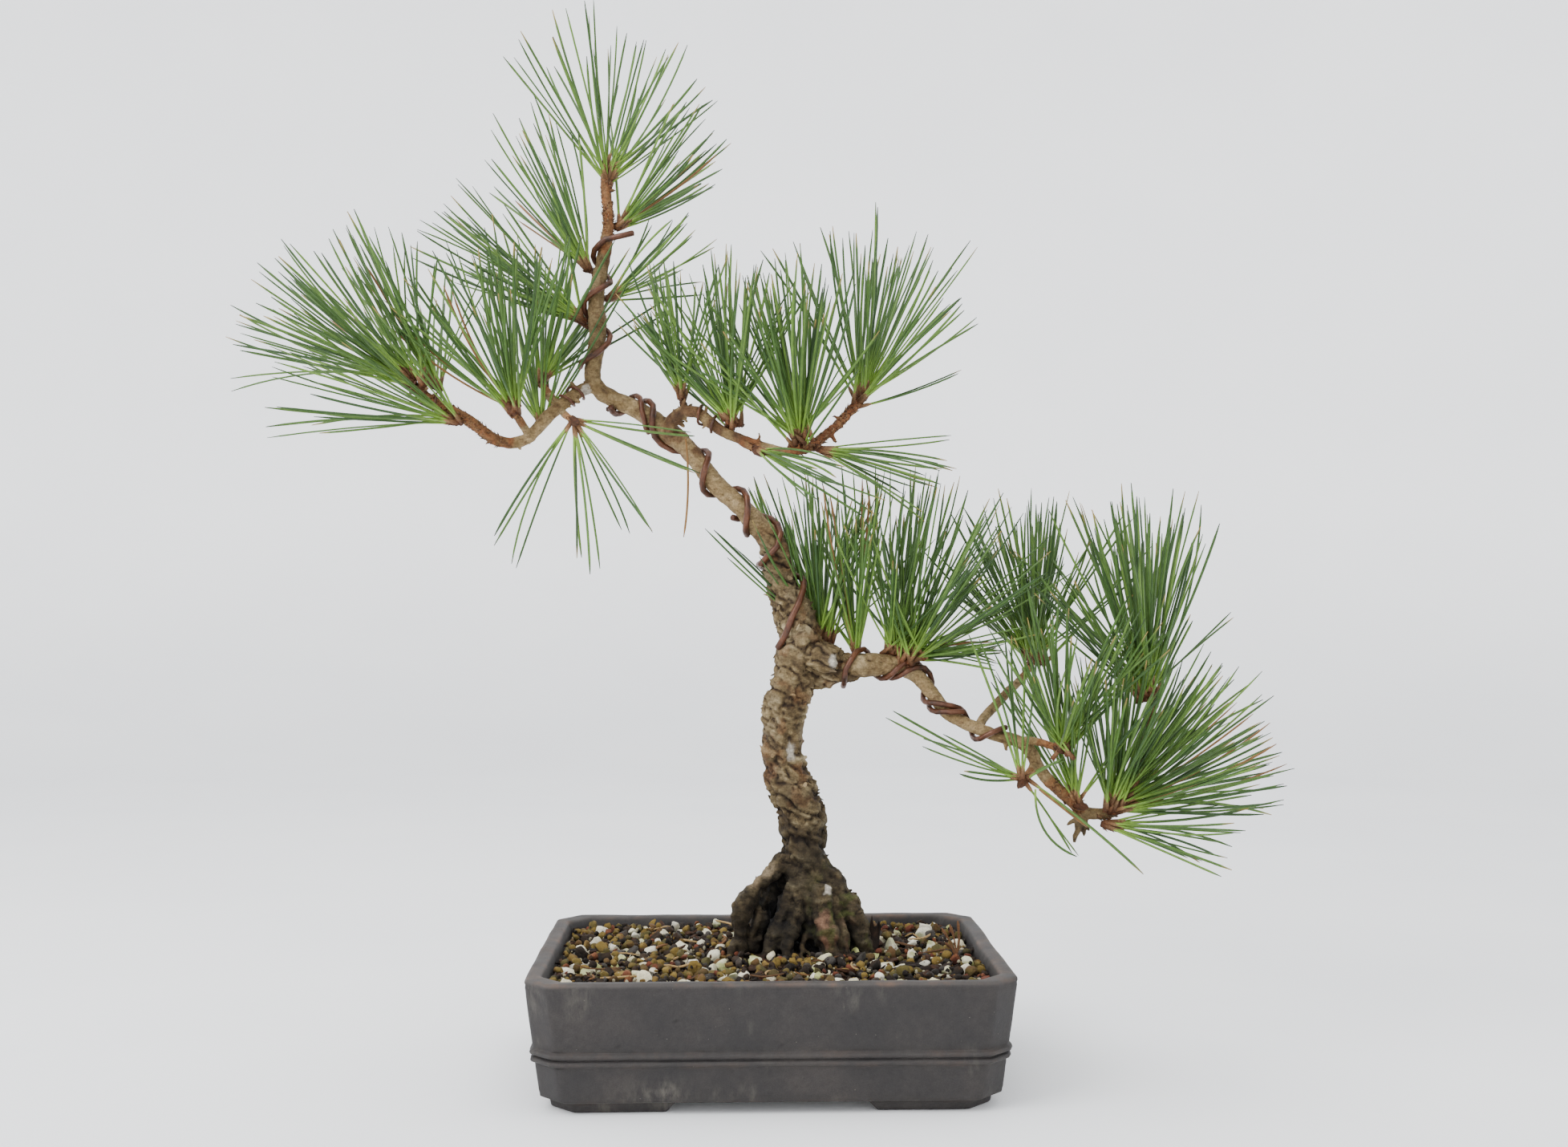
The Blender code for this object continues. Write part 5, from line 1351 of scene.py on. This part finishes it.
class Bed:
    """The height map that the granules are dropped on."""

    def __init__(self, pitch=1.0 * MM, coarse=4):
        self.low, self.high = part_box("soil_bed")
        self.pitch = pitch
        low, high = self.low, self.high
        self.nx, self.ny = int((high.x - low.x) / pitch), int((high.y - low.y) / pitch)
        self.xs = low.x + (np.arange(self.nx) + 0.5) * pitch
        self.ys = low.y + (np.arange(self.ny) + 0.5) * pitch
        spots = [(x, y) for x in self.xs[::coarse] for y in self.ys[::coarse]]
        tops = surface_height("soil_bed", spots).reshape(len(self.xs[::coarse]), len(self.ys[::coarse]))
        tops = np.where(tops < BED_LEAST, np.median(tops[tops > BED_LEAST]), tops)
        self.field = np.kron(tops, np.ones((coarse, coarse)))[:self.nx, :self.ny] - GRAIN_BED

    def corner(self, x, y, margin):
        """Whether a place is in one of the bed's cut corners or within the margin of it."""
        return (self.high.x - abs(x)) + (self.high.y - abs(y)) < CORNER_ROOM + margin

    def anywhere(self, margin_x, margin_y, rng):
        """A random place on the bed, kept off its edges."""
        return (rng.uniform(self.low.x + margin_x, self.high.x - margin_x),
                rng.uniform(self.low.y + margin_y, self.high.y - margin_y))

    def drop(self, radius, flat, rng, tries=6):
        """The lowest of a few random resting places, or None where wood or the wall is in the way."""
        best = None
        for _ in range(tries):
            x, y = self.anywhere(radius * 0.8, radius * 0.8, rng)
            if self.corner(x, y, radius * 0.9):
                continue
            i, j = int((x - self.low.x) / self.pitch), int((y - self.low.y) / self.pitch)
            span = max(1, int(radius * 0.8 / self.pitch))
            patch = self.field[max(0, i - span):i + span + 1, max(0, j - span):j + span + 1]
            height = patch.mean() * 0.6 + patch.max() * 0.4
            if best is None or height < best[0]:
                best = (height, x, y, i, j)
        if best is None:
            return None
        height, x, y, i, j = best
        z = height + radius * 0.42 * flat
        if WOOD_TREE.find_nearest(Vector((x, y, z)), radius * 0.45)[0] is not None:
            return None
        span = int(radius / self.pitch) + 1
        i0, i1 = max(0, i - span), min(self.nx, i + span + 1)
        j0, j1 = max(0, j - span), min(self.ny, j + span + 1)
        away = (self.xs[i0:i1, None] - x) ** 2 + (self.ys[None, j0:j1] - y) ** 2
        dome = z + np.sqrt(np.maximum(radius ** 2 - away, 0)) * 0.7 * flat
        old = self.field[i0:i1, j0:j1]
        self.field[i0:i1, j0:j1] = np.where(away < radius ** 2, np.maximum(old, dome), old)
        return np.array((x, y, z))

    def top(self, x, y):
        i = min(max(int((x - self.low.x) / self.pitch), 0), self.nx - 1)
        j = min(max(int((y - self.low.y) / self.pitch), 0), self.ny - 1)
        return self.field[i, j]


def make_soil():
    """Granules dropped one at a time onto a height map of the bed, the larger ones mostly first."""
    rng = np.random.default_rng(77)
    bed = Bed()
    kinds = list(GRAIN_KINDS)
    odds = np.array([kind[0] for kind in GRAIN_KINDS.values()])
    grains = []
    for kind in rng.choice(len(kinds), GRAINS, p=odds / odds.sum()):
        _, small, large, flat, _ = GRAIN_KINDS[kinds[kind]]
        radius = (small + (large - small) * rng.uniform() ** 1.9) * MM
        grains.append((radius * rng.uniform(0.45, 1.0), radius, kind))
    grains.sort(reverse=True)
    shapes = {name: ([], [], []) for name in kinds}
    for _, radius, kind in grains:
        name = kinds[kind]
        flat, colours = GRAIN_KINDS[name][3:]
        spot = bed.drop(radius, flat, rng)
        if spot is None:
            continue
        body, faces = stone(radius, flat, rng)
        body = body + spot
        tone = colours[rng.integers(len(colours))] * rng.uniform(0.75, 1.1)
        other = colours[rng.integers(len(colours))]
        patch = smoothstep(-0.35, 0.35, fractal(body / MM / 3.5, 2, 8))[:, None] * 0.7
        # painted shade: each granule darker on its lower half, down to half its colour
        lower_shade = (0.5 + 0.5 * smoothstep(-0.5, 0.5, (body[:, 2] - spot[2]) / radius))[:, None]
        points, all_faces, tints = shapes[name]
        all_faces.append(faces + sum(len(p) for p in points))
        points.append(body)
        tints.append((tone * (1 - patch) + other * patch) * lower_shade)
    for name, (points, faces, tints) in shapes.items():
        new_piece("soil_" + name, np.vstack(points), np.vstack(faces), GRANULE_MATERIAL, np.vstack(tints))
    make_crumbs(bed, rng)
    make_litter(bed, rng)
    make_dry_flake(bed)
    NODES["soil_bed"].data.materials.clear()
    NODES["soil_bed"].data.materials.append(bed_look())


def make_crumbs(bed, rng):
    """Fine dark crumbs lying between and on the granules."""
    shape, faces = SPHERES[1]
    points, all_faces, tints = [], [], []
    tones = (srgb(40, 28, 20), srgb(64, 44, 28), srgb(110, 86, 44), srgb(30, 24, 22), srgb(160, 152, 126))
    for _ in range(FINE_CRUMBS):
        x, y = bed.anywhere(2 * MM, 2 * MM, rng)
        if bed.corner(x, y, 2 * MM):
            continue
        size = rng.uniform(0.5, 1.5) * MM
        body = shape * (1 + rng.uniform(-0.3, 0.3, (len(shape), 1))) * size * rng.uniform(0.6, 1.2, 3)
        all_faces.append(faces + len(shape) * len(points))
        points.append(body + np.array((x, y, bed.top(x, y) - 1.3 * MM)))
        tints.append(np.tile(tones[rng.integers(len(tones))] * rng.uniform(0.7, 1.1), (len(shape), 1)))
    new_piece("soil_crumbs", np.vstack(points), np.vstack(all_faces), GRANULE_MATERIAL, np.vstack(tints),
              smooth=False)


def make_litter(bed, rng):
    """Fallen needles, pale twigs and a dead weed sprig on the soil."""
    paths, radii, tints = [], [], []
    for _ in range(26):
        long = rng.uniform(8, 26) * MM
        x, y = bed.anywhere(18 * MM, 14 * MM, rng)
        turn = rng.uniform(0, 2 * math.pi)
        s = np.linspace(-0.5, 0.5, 9)
        px = x + np.cos(turn + s * 0.5) * s * long
        py = y + np.sin(turn + s * 0.5) * s * long
        tops = np.array([bed.top(a, b) for a, b in zip(px, py)])
        rise = np.convolve(np.pad(tops, 3, 'edge'), np.ones(7) / 7, 'valid') + 1.1 * MM
        paths.append(np.column_stack([px, py, rise]))
        radii.append(rng.uniform(0.32, 0.7) * MM * np.array((0.6, 0.9, 1, 1, 1, 1, 1, 0.9, 0.5)))
        tints.append((srgb(168, 138, 92), srgb(120, 84, 52), srgb(92, 66, 44))[rng.integers(3)])
    sprig_foot = np.array((bed.high.x - 13 * MM, bed.low.y + 58 * MM))
    ground = bed.top(*sprig_foot)
    for lean, rise, reach in ((-3, 17, 1.0), (2, 12, 5.0), (-6, 9, -5.0), (-7, 15, 2.0), (1, 19, 0.0)):
        s = np.linspace(0, 1, 9)[:, None]
        start = np.array((*sprig_foot, ground - 1 * MM))
        end = start + np.array((lean, reach, rise)) * MM
        paths.append(start + (end - start) * s + np.sin(s * 3) * np.array((1.2, 0.6, 0)) * MM)
        radii.append(0.55 * MM * np.array((1, 1, 0.9, 0.8, 0.7, 0.8, 1.3, 1.5, 0.6)))
        tints.append(srgb(104, 72, 48))
    points, faces = tubes(paths, radii, 6, rng)
    colours = np.repeat(np.array(tints), 9 * 6, axis=0)
    new_piece("soil_litter", points, faces, GRANULE_MATERIAL, colours)


def make_dry_flake(bed):
    """A dry, ragged flake of bark standing in the soil to the right of the trunk."""
    foot = np.array((50 * MM, 2 * MM, bed.top(50 * MM, 2 * MM) - 2 * MM))
    rows, columns = 9, 13
    sheet = []
    for side in (0, 1):
        for r in range(rows):
            for c in range(columns):
                u, v = c / (columns - 1) - 0.5, r / (rows - 1)
                ragged = 1 + 0.28 * math.sin(c * 2.1) + 0.16 * math.sin(c * 4.7 + 1)
                bow = (u * 2) ** 2 * 3.0 + math.sin(v * 2.4) * 2.0
                sheet.append(foot + np.array((u * 15 + v * 3, bow - 0.9 * side, v * 14 * ragged)) * MM)
    sheet = np.array(sheet)
    sheet += fractal(sheet / MM / 2.2, 2, 66)[:, None] * 0.5 * MM
    n = rows * columns
    faces = []
    for r in range(rows - 1):
        for c in range(columns - 1):
            a = r * columns + c
            quad = [a, a + 1, a + columns + 1, a + columns]
            faces += [quad, [n + v for v in quad[::-1]]]
    border = (list(range(columns)) + [r * columns + columns - 1 for r in range(1, rows)]
              + [(rows - 1) * columns + c for c in range(columns - 2, -1, -1)]
              + [r * columns for r in range(rows - 2, 0, -1)])
    for a, b in zip(border, border[1:] + border[:1]):
        faces.append([a, n + a, n + b, b])
    tones = palette(0.5 + 0.6 * fractal(sheet / MM / 2, 2, 67), srgb(14, 10, 8), srgb(34, 24, 18),
                    srgb(60, 44, 32))
    new_piece("dry_bark_flake", sheet, faces, GRANULE_MATERIAL, tones)


GRANULE_MATERIAL = granule_look()
make_soil()
for node, look in (("drainage_mesh_left", plastic_look()), ("mesh_clip_left", clip_look())):
    for side in ("left", "right"):
        data = NODES[node.replace("left", side)].data
        data.materials.clear()
        data.materials.append(look)
